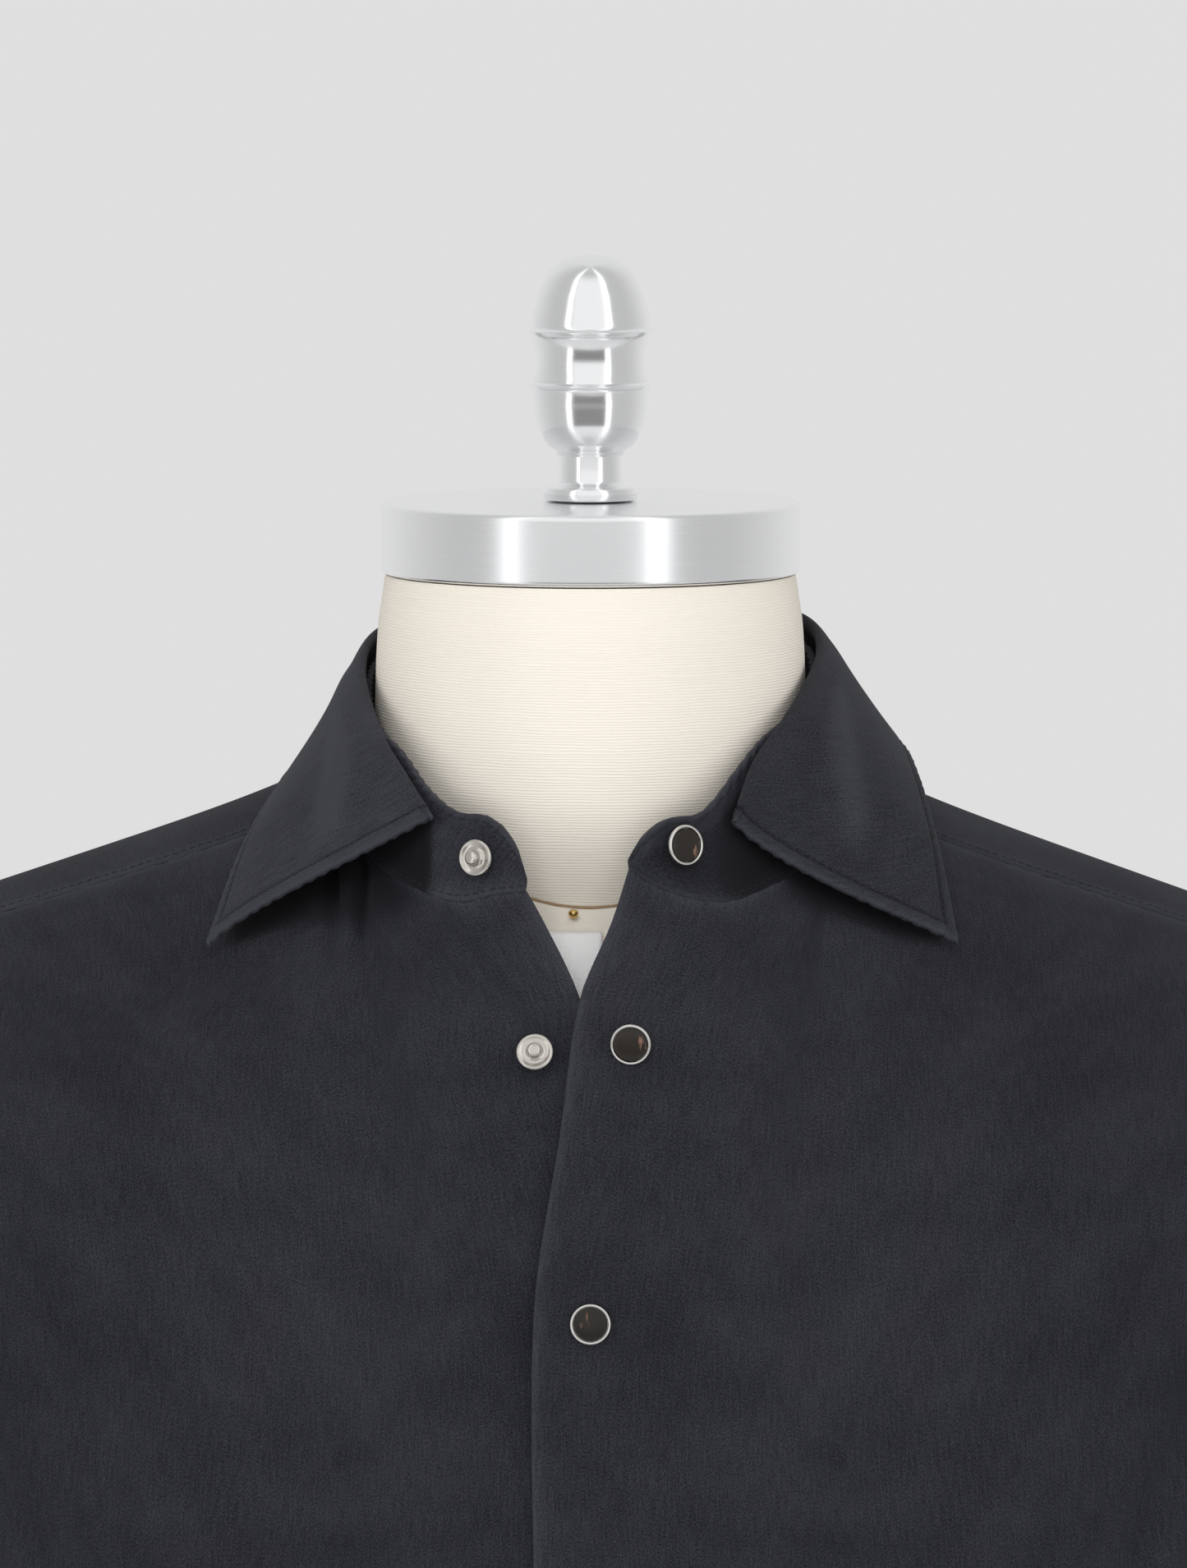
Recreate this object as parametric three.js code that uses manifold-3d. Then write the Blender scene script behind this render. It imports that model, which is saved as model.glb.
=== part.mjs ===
// A snap-front cotton shirt with a pointed collar, worn by a limbless tailor's dress form with a metal neck cap.
// Millimetres, +Z up, the front faces -Y, the wearer's left is +X. The origin is the middle of the form's flat base.
import * as THREE from "three";
import Module from "manifold-3d";
import { mergeVertices } from "three/addons/utils/BufferGeometryUtils.js";

// ---------------------------------------------------------------- driving dimensions
const CLOTH = 1.2; // wall of a single cloth panel
const BAND = 1.8; // wall of the interlined collar, collar stand and cuffs
const SEAM_GAP = 0.25; // half of the space left along a seam
const HEM_FRONT = 42; // height of the hem at the middle of front and back
const HEM_SIDE = 112; // height of the hem at the side seams
const UNDERARM = 548;
const CHEST = 620; // from here up the body arches back to the shoulder ridge
const NECK_POINT_X = 70;
const NECK_POINT_Z = 797.8;
const SLOPE_RIGHT = 0.335; // fall of the shoulder on the wearer's right (-X)
const SLOPE_LEFT = 0.358; // and on the left
const TIP_X = 226; // shoulder point
const RIDGE_Y = 8;
const OVERLAP = 16.5; // centre front to the edge of each front
const OPEN_FROM = 650; // the fronts are fastened up to here and spread above it
const NECK_SEAM_Z = 767;
const SNAP_PITCH = 82;
const CUFF_TOP = 176;
const CUFF_DEEP = 64;
const CAP_BOTTOM = 854.5;
const CAP_DEEP = 21.3;
const CAP_R = 62.6;

const material = (color, roughness, metalness = 0) =>
  new THREE.MeshStandardMaterial({ color, roughness, metalness });
const cotton = material(0x2f3035, 0.9);
const linen = material(0xece4d6, 0.9);
const patchCloth = material(0xe0e0e0, 0.9);
const aluminium = material(0xd2d3d5, 0.3, 1);
const steel = material(0xc9c6be, 0.2, 1);
const horn = material(0x241f1c, 0.2);
const brass = material(0xb98f3c, 0.3, 1);

const shirt = new THREE.Group();
function addMesh(name, geometry, mat) {
  const mesh = new THREE.Mesh(geometry, mat);
  mesh.name = name;
  shirt.add(mesh);
  return mesh;
}

// ---------------------------------------------------------------- small maths
const V = (x, y, z) => new THREE.Vector3(x, y, z);
const clamp01 = (t) => Math.min(1, Math.max(0, t));
const lerp = (a, b, t) => a + (b - a) * t;
const smooth = (t) => clamp01(t) ** 2 * (3 - 2 * clamp01(t));
const steps = (n, from = 0, to = 1) => Array.from({ length: n + 1 }, (_, i) => lerp(from, to, i / n));

// A smooth curve through [key, value] pairs, read at one key.
function table(pairs) {
  const slope = pairs.map((p, i) => {
    const a = pairs[Math.max(0, i - 1)];
    const b = pairs[Math.min(pairs.length - 1, i + 1)];
    return (b[1] - a[1]) / (b[0] - a[0]);
  });
  return (key) => {
    const k = Math.min(pairs.at(-1)[0], Math.max(pairs[0][0], key));
    const i = Math.max(0, Math.min(pairs.length - 2, pairs.findIndex((p) => p[0] >= k) - 1));
    const [[x0, y0], [x1, y1]] = [pairs[i], pairs[i + 1]];
    const h = x1 - x0;
    const t = (k - x0) / h;
    return (2 * t ** 3 - 3 * t ** 2 + 1) * y0 + (t ** 3 - 2 * t ** 2 + t) * h * slope[i] +
      (3 * t ** 2 - 2 * t ** 3) * y1 + (t ** 3 - t ** 2) * h * slope[i + 1];
  };
}

// A centripetal curve through points, sampled at n + 1 even steps of its length.
function through(points, n) {
  return new THREE.CatmullRomCurve3(points, false, "centripetal").getSpacedPoints(n);
}

// ---------------------------------------------------------------- the body's surface
// Sections are superellipses: half width, depth in front of and behind the middle line.
const SQUARE = 2.3; // roundness of the horizontal section
const ARCH_Z = 2.2; // roundness of the shoulder arch, upwards
const ARCH_Y = 1.7; // and forwards
const halfWidth = table([[40, 210], [200, 206], [400, 200], [520, 198], [600, 202], [640, 206], [680, 214],
  [715, 226], [745, 246], [850, 258]]);
const depthFront = table([[40, 124], [200, 127], [400, 129], [520, 129], [620, 127], [700, 131], [850, 134]]);
const depthBack = table([[40, 128], [200, 124], [400, 119], [520, 119], [620, 120], [700, 118], [850, 116]]);
const middleY = table([[40, 0], [520, 0], [620, 0], [700, 4], [790, RIDGE_Y], [850, RIDGE_Y]]);
const armholeX = table([[540, 201], [548, 199], [562, 192], [585, 188], [615, 186.5], [650, 188], [682, 193],
  [715, 206], [746, 227], [760, 235]]);

const slopeAt = (x) => lerp(SLOPE_RIGHT, SLOPE_LEFT, smooth((x + 60) / 120));
// Height of the shoulder ridge. It climbs towards the neck, and rounds off at the shoulder point.
function ridgeZ(x) {
  const a = Math.hypot(x, 24);
  const fall = slopeAt(x) * (a - NECK_POINT_X) + 7 * smooth((a - 185) / 60);
  return NECK_POINT_Z - fall + 27 * Math.exp(-((a / 58) ** 2));
}

// How far the cloth stands out in the largest folds of the loose lower body, by angle and height.
function drape(x, side, z) {
  const loose = smooth((540 - z) / 420);
  const a = x / 200;
  return loose * (5.5 * Math.sin(9.5 * a + 0.6 + side * 0.9) + 3.5 * Math.sin(16 * a - 0.8 * side)) *
    (0.35 + 0.65 * smooth(Math.abs(a) * 1.6 - 0.15));
}

// A point of the front (side -1) or back (side +1): q runs from -1 at the right side seam to 1 at the left one.
function bodyPoint(q, z, side) {
  const angle = (q * Math.PI) / 2;
  const w = halfWidth(z);
  const x = Math.sign(q) * w * Math.abs(Math.sin(angle)) ** (2 / SQUARE);
  const round = Math.max(0, Math.cos(angle)) ** (2 / SQUARE);
  const depth = side < 0 ? depthFront(z) : depthBack(z);
  const s = clamp01((z - CHEST) / (ridgeZ(x) - CHEST));
  const arch = Math.max(0, 1 - s ** ARCH_Z) ** (1 / ARCH_Y);
  const fold = drape(x, side, z) * Math.min(1, round * 1.6);
  return V(x, middleY(z) + side * (depth * round * arch + fold), z);
}
const qOf = (x, z) => {
  const r = Math.min(1, Math.abs(x) / halfWidth(z));
  return (Math.sign(x) * 2 * Math.asin(r ** (SQUARE / 2))) / Math.PI;
};
const onBody = (x, z, side) => bodyPoint(qOf(x, z), z, side);

// A point of the shoulder arch over x: arch runs from -90 degrees in front over 0 at the ridge to 90 behind.
function archPoint(x, arch) {
  const a = (Math.abs(arch) * Math.PI) / 180;
  const z = CHEST + (ridgeZ(x) - CHEST) * Math.cos(a) ** (2 / ARCH_Z);
  return onBody(x, z, arch < 0 ? -1 : 1);
}

// Outward directions of the same surface: at [q, z] on a side, and over the shoulder arch at [x, arch].
function bodyOut(q, z, side) {
  if (Math.abs(q) > 0.985) return V(Math.sign(q), 0, (halfWidth(z - 1) - halfWidth(z + 1)) / 2).normalize();
  const along = bodyPoint(q + 0.01, z, side).sub(bodyPoint(q - 0.01, z, side));
  const up = bodyPoint(q, z + 1, side).sub(bodyPoint(q, z - 1, side));
  return along.cross(up).multiplyScalar(-side).normalize();
}
function archOut(x, arch) {
  const along = archPoint(x + 1, arch).sub(archPoint(x - 1, arch));
  return along.cross(archPoint(x, arch + 1).sub(archPoint(x, arch - 1))).normalize();
}

// ---------------------------------------------------------------- seam lines
const FRONT_SEAM_ARCH = -19; // the yoke comes this far over the ridge to the front
const YOKE_BACK_Z = 712;
const hemZ = (q) => lerp(HEM_FRONT, HEM_SIDE, smooth((Math.abs(q) - 0.35) / 0.65));
// The edges of the fronts run straight where they are fastened, and spread into a small V at the neck.
const leftEdgeX = table([[HEM_FRONT, -OVERLAP], [560, -OVERLAP], [OPEN_FROM, -OVERLAP], [701, -9], [739, -3.2],
  [760, 6], [776, 11.5]]);
const rightEdgeX = table([[HEM_FRONT, OVERLAP], [560, OVERLAP], [OPEN_FROM, OVERLAP], [725, -0.4], [739, -3],
  [761, -14], [770, -19.5]]);

// Arch angle of a height behind, found by halving.
function archAt(x, z) {
  let [low, high] = [0, 90];
  for (let i = 0; i < 40; i++) {
    const mid = (low + high) / 2;
    if (archPoint(x, mid).z > z) low = mid;
    else high = mid;
  }
  return (low + high) / 2;
}
function armholeAtArch(hand, arch) {
  let x = TIP_X;
  for (let i = 0; i < 30; i++) x = lerp(x, armholeX(archPoint(hand * x, arch).z), 0.5);
  return hand * x;
}
const FRONT_ARM_ROWS = 9;
const YOKE_ARM_FRONT = 2;
const YOKE_ARM_BACK = 4;
const BACK_ARM_ROWS = 8;
const LOW_ROWS = 7;
const tipZ = (hand) => archPoint(armholeAtArch(hand, FRONT_SEAM_ARCH), FRONT_SEAM_ARCH).z;

// Heights of the side edge: hem to underarm, then underarm to the top of the armhole, closer together low down.
const sideHeights = (top, armRows) => [
  ...steps(LOW_ROWS, HEM_SIDE, UNDERARM).slice(0, -1),
  ...steps(armRows).map((t) => lerp(UNDERARM, top, t ** 1.35)),
];
const sideEdge = (hand, top, armRows) =>
  sideHeights(top, armRows).map((z) => [z <= UNDERARM ? hand : qOf(hand * armholeX(z), z), z]);

// Fills a sheet between four edges given as [a, b] pairs in the same plane (a Coons patch).
function fill(bottom, top, left, right) {
  const [nu, nv] = [bottom.length - 1, left.length - 1];
  return left.map((l, j) =>
    bottom.map((b, i) => {
      const u = (b[0] - bottom[0][0]) / (bottom[nu][0] - bottom[0][0]);
      const v = j / nv;
      return [0, 1].map((k) =>
        lerp(b[k], top[i][k], v) + lerp(l[k], right[j][k], u) -
        lerp(lerp(bottom[0][k], bottom[nu][k], u), lerp(top[0][k], top[nu][k], u), v));
    }));
}

// ---------------------------------------------------------------- cloth walls
// Turns a sheet of points (rows of columns) into a closed wall. The sheet is the outer face, and the wall grows
// behind it: `flip` says that rows and columns run clockwise seen from outside. Edges are drawn in by `gap`, so
// that neighbours don't touch. `normals` gives the outward directions where neighbours have to share them.
function wall(rows, { thick = CLOTH, gap = SEAM_GAP, ring = false, flip = false, normals = null } = {}) {
  const [nv, nu] = [rows.length, rows[0].length];
  const p = rows.map((r) => r.map((c) => c.clone()));
  const pull = (a, b, d) => a.add(b.clone().sub(a).setLength(d));
  if (gap > 0) {
    for (let i = 0; i < nu; i++) {
      pull(p[0][i], rows[1][i], gap);
      pull(p[nv - 1][i], rows[nv - 2][i], gap);
    }
    if (!ring)
      for (let j = 0; j < nv; j++) {
        pull(p[j][0], rows[j][1], gap);
        pull(p[j][nu - 1], rows[j][nu - 2], gap);
      }
  }
  const at = (j, i) => p[Math.min(nv - 1, Math.max(0, j))][ring ? (i + nu) % nu : Math.min(nu - 1, Math.max(0, i))];
  const inner = p.map((row, j) =>
    row.map((c, i) => {
      if (normals) return c.clone().addScaledVector(normals[j][i], -thick);
      const along = at(j, i + 1).clone().sub(at(j, i - 1));
      const up = at(j + 1, i).clone().sub(at(j - 1, i));
      const n = along.cross(up).normalize().multiplyScalar(flip ? -1 : 1);
      return c.clone().addScaledVector(n, -thick);
    }));
  const points = [...p.flat(), ...inner.flat()];
  const id = (j, i, layer) => layer * nu * nv + j * nu + (ring ? (i + nu) % nu : i);
  const faces = [];
  const quad = (a, b, c, d) => faces.push(a, b, c, a, c, d);
  const columns = ring ? nu : nu - 1;
  for (let j = 0; j < nv - 1; j++)
    for (let i = 0; i < columns; i++) {
      const [a, b, c, d] = [[j, i], [j, i + 1], [j + 1, i + 1], [j + 1, i]];
      const shorter = at(...a).distanceTo(at(...c)) <= at(...b).distanceTo(at(...d));
      const [k, l, m, n] = shorter ? [a, b, c, d] : [b, c, d, a];
      quad(id(...k, 0), id(...l, 0), id(...m, 0), id(...n, 0));
      quad(id(...k, 1), id(...n, 1), id(...m, 1), id(...l, 1));
    }
  for (let i = 0; i < columns; i++) {
    quad(id(0, i, 1), id(0, i + 1, 1), id(0, i + 1, 0), id(0, i, 0));
    quad(id(nv - 1, i, 0), id(nv - 1, i + 1, 0), id(nv - 1, i + 1, 1), id(nv - 1, i, 1));
  }
  if (!ring)
    for (let j = 0; j < nv - 1; j++) {
      quad(id(j, 0, 0), id(j + 1, 0, 0), id(j + 1, 0, 1), id(j, 0, 1));
      quad(id(j, nu - 1, 1), id(j + 1, nu - 1, 1), id(j + 1, nu - 1, 0), id(j, nu - 1, 0));
    }
  if (flip) for (let k = 0; k < faces.length; k += 3) [faces[k + 1], faces[k + 2]] = [faces[k + 2], faces[k + 1]];
  const g = new THREE.BufferGeometry().setFromPoints(points);
  g.setIndex(faces);
  return g;
}

// ---------------------------------------------------------------- neckline
// From the front edge of each front, past its yoke seam and the ridge, to the middle of the back neck.
const frontNeck = (hand) => {
  const rise = hand < 0 ? 1.5 : 8;
  const edge = (hand < 0 ? rightEdgeX : leftEdgeX)(NECK_SEAM_Z + rise);
  const seam = archPoint(hand * NECK_POINT_X, FRONT_SEAM_ARCH);
  return [
    [edge, NECK_SEAM_Z + rise],
    [edge + hand * 9, NECK_SEAM_Z + rise * 0.3],
    [hand * 38, NECK_SEAM_Z - 2],
    [hand * 52, NECK_SEAM_Z + 1.5],
    [hand * 64, NECK_SEAM_Z + 8],
    [hand * NECK_POINT_X, seam.z],
  ];
};
const SHOULDER_COLUMNS = 5;
// The arch angle at which the surface over x has this y.
const archForY = (x, y) => {
  const side = y < RIDGE_Y ? -1 : 1;
  const depth = Math.abs(onBody(x, CHEST, side).y);
  const share = Math.abs(y - RIDGE_Y) / depth;
  return (side * Math.asin(clamp01(share) ** (ARCH_Y / 2)) * 180) / Math.PI;
};
// Behind the ridge the neckline is an ellipse in plan.
const NECK_BACK_Y = 64;
const backNeck = (hand) => [
  [hand * NECK_POINT_X, FRONT_SEAM_ARCH],
  ...[0, 22.5, 45, 67.5, 90].map((t) => {
    const a = (t * Math.PI) / 180;
    const x = hand * (NECK_POINT_X + 1.5) * Math.cos(a);
    return [x, archForY(x, RIDGE_Y + NECK_BACK_Y * Math.sin(a))];
  }),
];

// ---------------------------------------------------------------- fronts
// Each front runs from its lapped edge to the side seam and armhole, up to the neckline and the yoke seam.
function frontSheet(hand) {
  const edgeX = hand < 0 ? rightEdgeX : leftEdgeX;
  const armX = armholeAtArch(hand, FRONT_SEAM_ARCH);
  const side = sideEdge(hand, tipZ(hand), FRONT_ARM_ROWS);
  const neck = frontNeck(hand);
  const seam = steps(SHOULDER_COLUMNS, hand * NECK_POINT_X, armX).slice(1)
    .map((x) => [x, archPoint(x, FRONT_SEAM_ARCH).z]);
  const top = [...neck, ...seam].map(([x, z]) => [qOf(x, z), z]);
  const n = top.length - 1;
  const edgeTop = neck[0][1];
  const edge = side.map(([, z]) => {
    const height = lerp(HEM_FRONT, edgeTop, (z - HEM_SIDE) / (tipZ(hand) - HEM_SIDE));
    return [qOf(edgeX(height), height), height];
  });
  const bottom = steps(n).map((t) => {
    const q = lerp(edge[0][0], hand, lerp(t, t ** 1.5, 0.6));
    return [q, hemZ(q)];
  });
  return fill(bottom, top, edge, side);
}
// The right front passes under the left one, so it steps in along the lap.
function tuckUnder(q, z) {
  const point = bodyPoint(q, z, -1);
  const into = smooth((point.x - leftEdgeX(z) + 26) / 20);
  return point.add(V(0, 3.2 * into, 0));
}
for (const hand of [-1, 1]) {
  const sheet = frontSheet(hand);
  const rows = sheet.map((row) => row.map(([q, z]) => (hand < 0 ? tuckUnder(q, z) : bodyPoint(q, z, -1))));
  const normals = sheet.map((row) => row.map(([q, z]) => bodyOut(q, z, -1)));
  addMesh(hand < 0 ? "front_right" : "front_left", wall(rows, { flip: hand < 0, normals }), cotton);
}

// ---------------------------------------------------------------- back
const BACK_COLUMNS = 16;
function backSheet() {
  const left = sideEdge(-1, YOKE_BACK_Z, BACK_ARM_ROWS);
  const right = sideEdge(1, YOKE_BACK_Z, BACK_ARM_ROWS);
  const bottom = steps(BACK_COLUMNS, -1, 1).map((q) => [q, hemZ(q)]);
  const ends = [left, right].map((e) => e.at(-1)[0]);
  const top = steps(BACK_COLUMNS, ...ends).map((q) => [q, YOKE_BACK_Z]);
  return fill(bottom, top, left, right);
}
const back = backSheet();
addMesh("back", wall(back.map((row) => row.map(([q, z]) => bodyPoint(q, z, 1))), {
  flip: true,
  normals: back.map((row) => row.map(([q, z]) => bodyOut(q, z, 1))),
}), cotton);

// ---------------------------------------------------------------- yoke
// One piece over both shoulders: from the back seam up over the ridge to the two front seams and the back neckline.
function yokeSheet() {
  const rows = YOKE_ARM_FRONT + YOKE_ARM_BACK;
  const sideOf = (hand) => {
    const low = archAt(hand * armholeX(YOKE_BACK_Z), YOKE_BACK_Z);
    const arches = [...steps(YOKE_ARM_BACK, low, 0), ...steps(YOKE_ARM_FRONT, 0, FRONT_SEAM_ARCH).slice(1)];
    return arches.map((a) => [armholeAtArch(hand, a), a]);
  };
  const [left, right] = [sideOf(-1), sideOf(1)];
  const half = (hand) => [
    ...steps(SHOULDER_COLUMNS, armholeAtArch(hand, FRONT_SEAM_ARCH), hand * NECK_POINT_X)
      .slice(0, -1).map((x) => [x, FRONT_SEAM_ARCH]),
    ...backNeck(hand),
  ];
  const top = [...half(-1), ...half(1).slice(0, -1).reverse()];
  const n = top.length - 1;
  const bottom = steps(n, left[0][0], right[0][0]).map((x) => [x, archAt(x, YOKE_BACK_Z)]);
  if (left.length !== rows + 1) throw new Error("yoke rows");
  return fill(bottom, top, left, right);
}
const yoke = yokeSheet();
addMesh("yoke", wall(yoke.map((row) => row.map(([x, a]) => archPoint(x, a))), {
  flip: true,
  normals: yoke.map((row) => row.map(([x, a]) => archOut(x, a))),
}), cotton);

// ---------------------------------------------------------------- collar stand and collar
// The stand's seam line follows the neckline; the fold line is where the collar turns over.
const seamLine = (hand) => {
  const front = frontNeck(hand).map(([x, z]) => onBody(x, z, -1));
  const back = backNeck(hand).slice(1).map(([x, a]) => archPoint(x, a));
  return [...front, ...back];
};
const STAND_COLUMNS = 34;
const neckLine = through([...seamLine(-1), ...seamLine(1).slice(0, -1).reverse()], STAND_COLUMNS);

const FOLD_BACK = V(0, 77.5, 843);
const foldHalf = (hand) => hand < 0
  ? [V(-46.4, -75, 789), V(-53.6, -63, 799.6), V(-59.3, -52, 807.5), V(-64.6, -32, 817), V(-67.8, 2, 828),
    V(-63.5, 34, 835), V(-44, 64, 841), FOLD_BACK]
  : [V(42.2, -75.5, 788), V(47.5, -61, 803), V(56.6, -44.2, 814.6), V(63.2, -24, 823), V(68.2, 6, 832), V(64.5, 36, 838.5),
    V(44.5, 64, 842), FOLD_BACK];
const EDGE_BACK = V(0, 97, 796);
const edgeHalf = (hand) => hand < 0
  ? [V(-112.8, -74, 751.4), V(-104, -46, 775), V(-95.5, -18, 789), V(-88, 12, 796), V(-76, 46, 797),
    V(-49, 82, 796), EDGE_BACK]
  : [V(108, -74, 752), V(103.2, -46, 777), V(98.8, -18, 793), V(94.5, 10, 801), V(84.5, 46, 802),
    V(53, 82, 799), EDGE_BACK];
const LEAF_COLUMNS = 30;
const bothWays = (half, n) => through([...half(-1), ...half(1).slice(0, -1).reverse()], n);
const foldLine = bothWays(foldHalf, LEAF_COLUMNS);
const leafEdge = bothWays(edgeHalf, LEAF_COLUMNS);

// The stand's top runs a little under the fold, and its two ends round down to the neckline.
const STAND_BACK = V(0, 76.3, 837);
const topHalf = (hand) => hand < 0
  ? [V(-19, -92, 790.5), V(-30, -85, 791.4), V(-40.5, -77, 791.6), V(-49.5, -66, 797.6), V(-58, -49, 808),
    V(-63.6, -31, 813.5), V(-66.6, 2, 822), V(-62.6, 33, 829), V(-43.3, 63, 835), STAND_BACK]
  : [V(11, -92, 789.5), V(22, -85.5, 790.6), V(33, -77, 791.2), V(44.4, -62, 802.5), V(53, -46.5, 812),
    V(62.1, -23.5, 818), V(67, 6, 826), V(63.5, 35.4, 832.5), V(43.8, 63, 836), STAND_BACK];
const standTop = bothWays(topHalf, STAND_COLUMNS);
const STAND_ROWS = 3;
const STAND_RISE = [1.1, -0.9]; // above the neckline at the foot, below the fold at the top
const STAND_EASE = [-1.8, 0.7]; // the top edge's shift from the neck's axis: in front, then round the sides
const standSheet = steps(STAND_ROWS).map((v) =>
  neckLine.map((foot, i) => {
    const fromEnd = Math.min(i, STAND_COLUMNS - i) / 1.4;
    const height = v * Math.sqrt(1 - (1 - clamp01(fromEnd)) ** 2 * 0.97);
    const point = foot.clone().lerp(standTop[i], height);
    point.z += lerp(...STAND_RISE, v);
    const ease = v * lerp(...STAND_EASE, smooth((point.y + 58) / 20));
    return point.add(V(point.x, point.y, 0).setLength(1).multiplyScalar(ease));
  }));
addMesh("collar_stand", wall(standSheet, { thick: BAND, gap: 0.3, flip: true }), cotton);

// The collar starts above the stand, turns over the fold and falls to its outer edge.
const LEAF_ROWS = 6;
const LEAF_START = V(0, 0, -4);
const SAG = { right: 3.2, left: 7.5, reach: 42 }; // the front ends droop between the fold and the points
const sagAt = (i, w) => {
  const near = (end) => smooth(1 - foldLine[i].distanceTo(foldLine[end]) / SAG.reach);
  const across = Math.sin(Math.PI * w);
  const right = V(0.47, 0, -0.88).multiplyScalar(SAG.right * near(0));
  const left = V(-0.47, 0, -0.88).multiplyScalar(SAG.left * near(LEAF_COLUMNS));
  return right.add(left).multiplyScalar(across);
};
const leafSheet = (() => {
  const out = foldLine.map((p, i) => leafEdge[i].clone().sub(p).setZ(0).normalize());
  const rows = [foldLine.map((p) => p.clone().add(LEAF_START))];
  const turned = foldLine.map((p, i) => p.clone().addScaledVector(out[i], 0.6));
  rows.push(turned);
  for (const w of steps(LEAF_ROWS).slice(1))
    rows.push(turned.map((p, i) => {
      const end = leafEdge[i];
      const drop = p.z - end.z;
      const bend = p.clone().addScaledVector(out[i], 4).add(V(0, 0, 1.5));
      const hang = end.clone().addScaledVector(out[i], -9).add(V(0, 0, drop * 0.42));
      return new THREE.CubicBezierCurve3(p, bend, hang, end).getPoint(w).add(sagAt(i, w));
    }));
  return rows;
})();
addMesh("collar", wall(leafSheet, { thick: BAND * 0.8, gap: 0 }), cotton);

// ---------------------------------------------------------------- sleeves
// One hanging tube each, set into the armhole ring and narrowing to the cuff.
const sleeveX = table([[100, 287], [176, 285], [300, 281], [400, 274], [500, 263]]);
const sleeveY = table([[100, -16], [176, -13], [300, -5], [400, 1], [500, 3]]);
const sleeveWide = table([[100, 23], [176, 24], [200, 29], [300, 31], [400, 33], [500, 40]]);
const sleeveDeep = table([[100, 42], [176, 43], [200, 52], [300, 60], [400, 67], [500, 75]]);
const BICEP = 500;
// s runs once round from the underarm seam, over the front, the outside and the back.
function sleevePoint(hand, s, z) {
  const a = 2 * Math.PI * s;
  const crease = 2.2 * Math.sin(3 * a + z / 37) * smooth((z - 190) / 60);
  const x = sleeveX(z) - (sleeveWide(z) + crease * 0.5) * Math.cos(a);
  return V(hand * x, sleeveY(z) - (sleeveDeep(z) + crease) * Math.sin(a), z);
}
function armholeRing(hand) {
  const front = sideEdge(hand, tipZ(hand), FRONT_ARM_ROWS).slice(LOW_ROWS).map(([q, z]) => bodyPoint(q, z, -1));
  const ridge = steps(YOKE_ARM_FRONT, FRONT_SEAM_ARCH, 0).slice(1)
    .map((a) => archPoint(armholeAtArch(hand, a), a));
  const low = archAt(hand * armholeX(YOKE_BACK_Z), YOKE_BACK_Z);
  const behind = steps(YOKE_ARM_BACK, 0, low).slice(1).map((a) => archPoint(armholeAtArch(hand, a), a));
  const back = sideEdge(hand, YOKE_BACK_Z, BACK_ARM_ROWS).slice(LOW_ROWS + 1, -1).reverse()
    .map(([q, z]) => bodyPoint(q, z, 1));
  return [...front, ...ridge, ...behind, ...back];
}
function sleeveSheet(hand) {
  const ring = armholeRing(hand);
  const lengths = ring.map((p, i) => p.distanceTo(ring[(i + 1) % ring.length]));
  const total = lengths.reduce((a, b) => a + b);
  let run = 0;
  const share = lengths.map((l) => {
    run += l;
    return (run - l) / total;
  });
  const rows = [];
  for (const t of [0.008, 0.07, 0.2, 0.36, 0.53, 0.7, 0.86, 1])
    rows.push(ring.map((from, i) => {
      const s = share[i];
      const up = (1 - Math.cos(2 * Math.PI * s)) / 2; // 0 at the underarm, 1 over the shoulder
      const away = V(hand, -0.12 * Math.sin(2 * Math.PI * s), lerp(-0.25, -0.3, up)).multiplyScalar(lerp(45, 120, up));
      const to = sleevePoint(hand, s, BICEP);
      const down = V(hand * 4, 0, -lerp(40, 190, up));
      const [h0, h1] = [2 * t ** 3 - 3 * t ** 2 + 1, t ** 3 - 2 * t ** 2 + t];
      const [h2, h3] = [3 * t ** 2 - 2 * t ** 3, t ** 3 - t ** 2];
      return from.clone().multiplyScalar(h0).addScaledVector(away, h1).addScaledVector(to, h2)
        .addScaledVector(down, h3);
    }));
  for (const z of [...steps(9, BICEP, 214).slice(1), 195, CUFF_TOP + 0.3])
    rows.push(share.map((s) => sleevePoint(hand, s, z)));
  return rows;
}
for (const hand of [-1, 1])
  addMesh(hand < 0 ? "sleeve_right" : "sleeve_left",
    wall(sleeveSheet(hand), { ring: true, gap: 0, flip: hand > 0 }), cotton);

// Cuffs: a band round the wrist whose outer end laps over its inner end behind, on the outside.
const CUFF_COLUMNS = 30;
const CUFF_JOIN = 0.66;
const cuffOut = (t) => 2.6 * smooth((t - 0.86) / 0.1);
function cuffPoint(hand, t, z, extra = 0) {
  const a = 2 * Math.PI * (CUFF_JOIN + t * 1.1);
  const r = cuffOut(t) + extra;
  return V(hand * (sleeveX(z) - (sleeveWide(140) + r) * Math.cos(a)), sleeveY(z) - (sleeveDeep(140) + r) * Math.sin(a), z);
}
for (const hand of [-1, 1]) {
  const rows = steps(3, CUFF_TOP - 0.2, CUFF_TOP - CUFF_DEEP)
    .map((z) => steps(CUFF_COLUMNS).map((t) => cuffPoint(hand, t, z)));
  addMesh(hand < 0 ? "cuff_right" : "cuff_left", wall(rows, { thick: BAND, gap: 0, flip: hand > 0 }), cotton);
}
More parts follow.
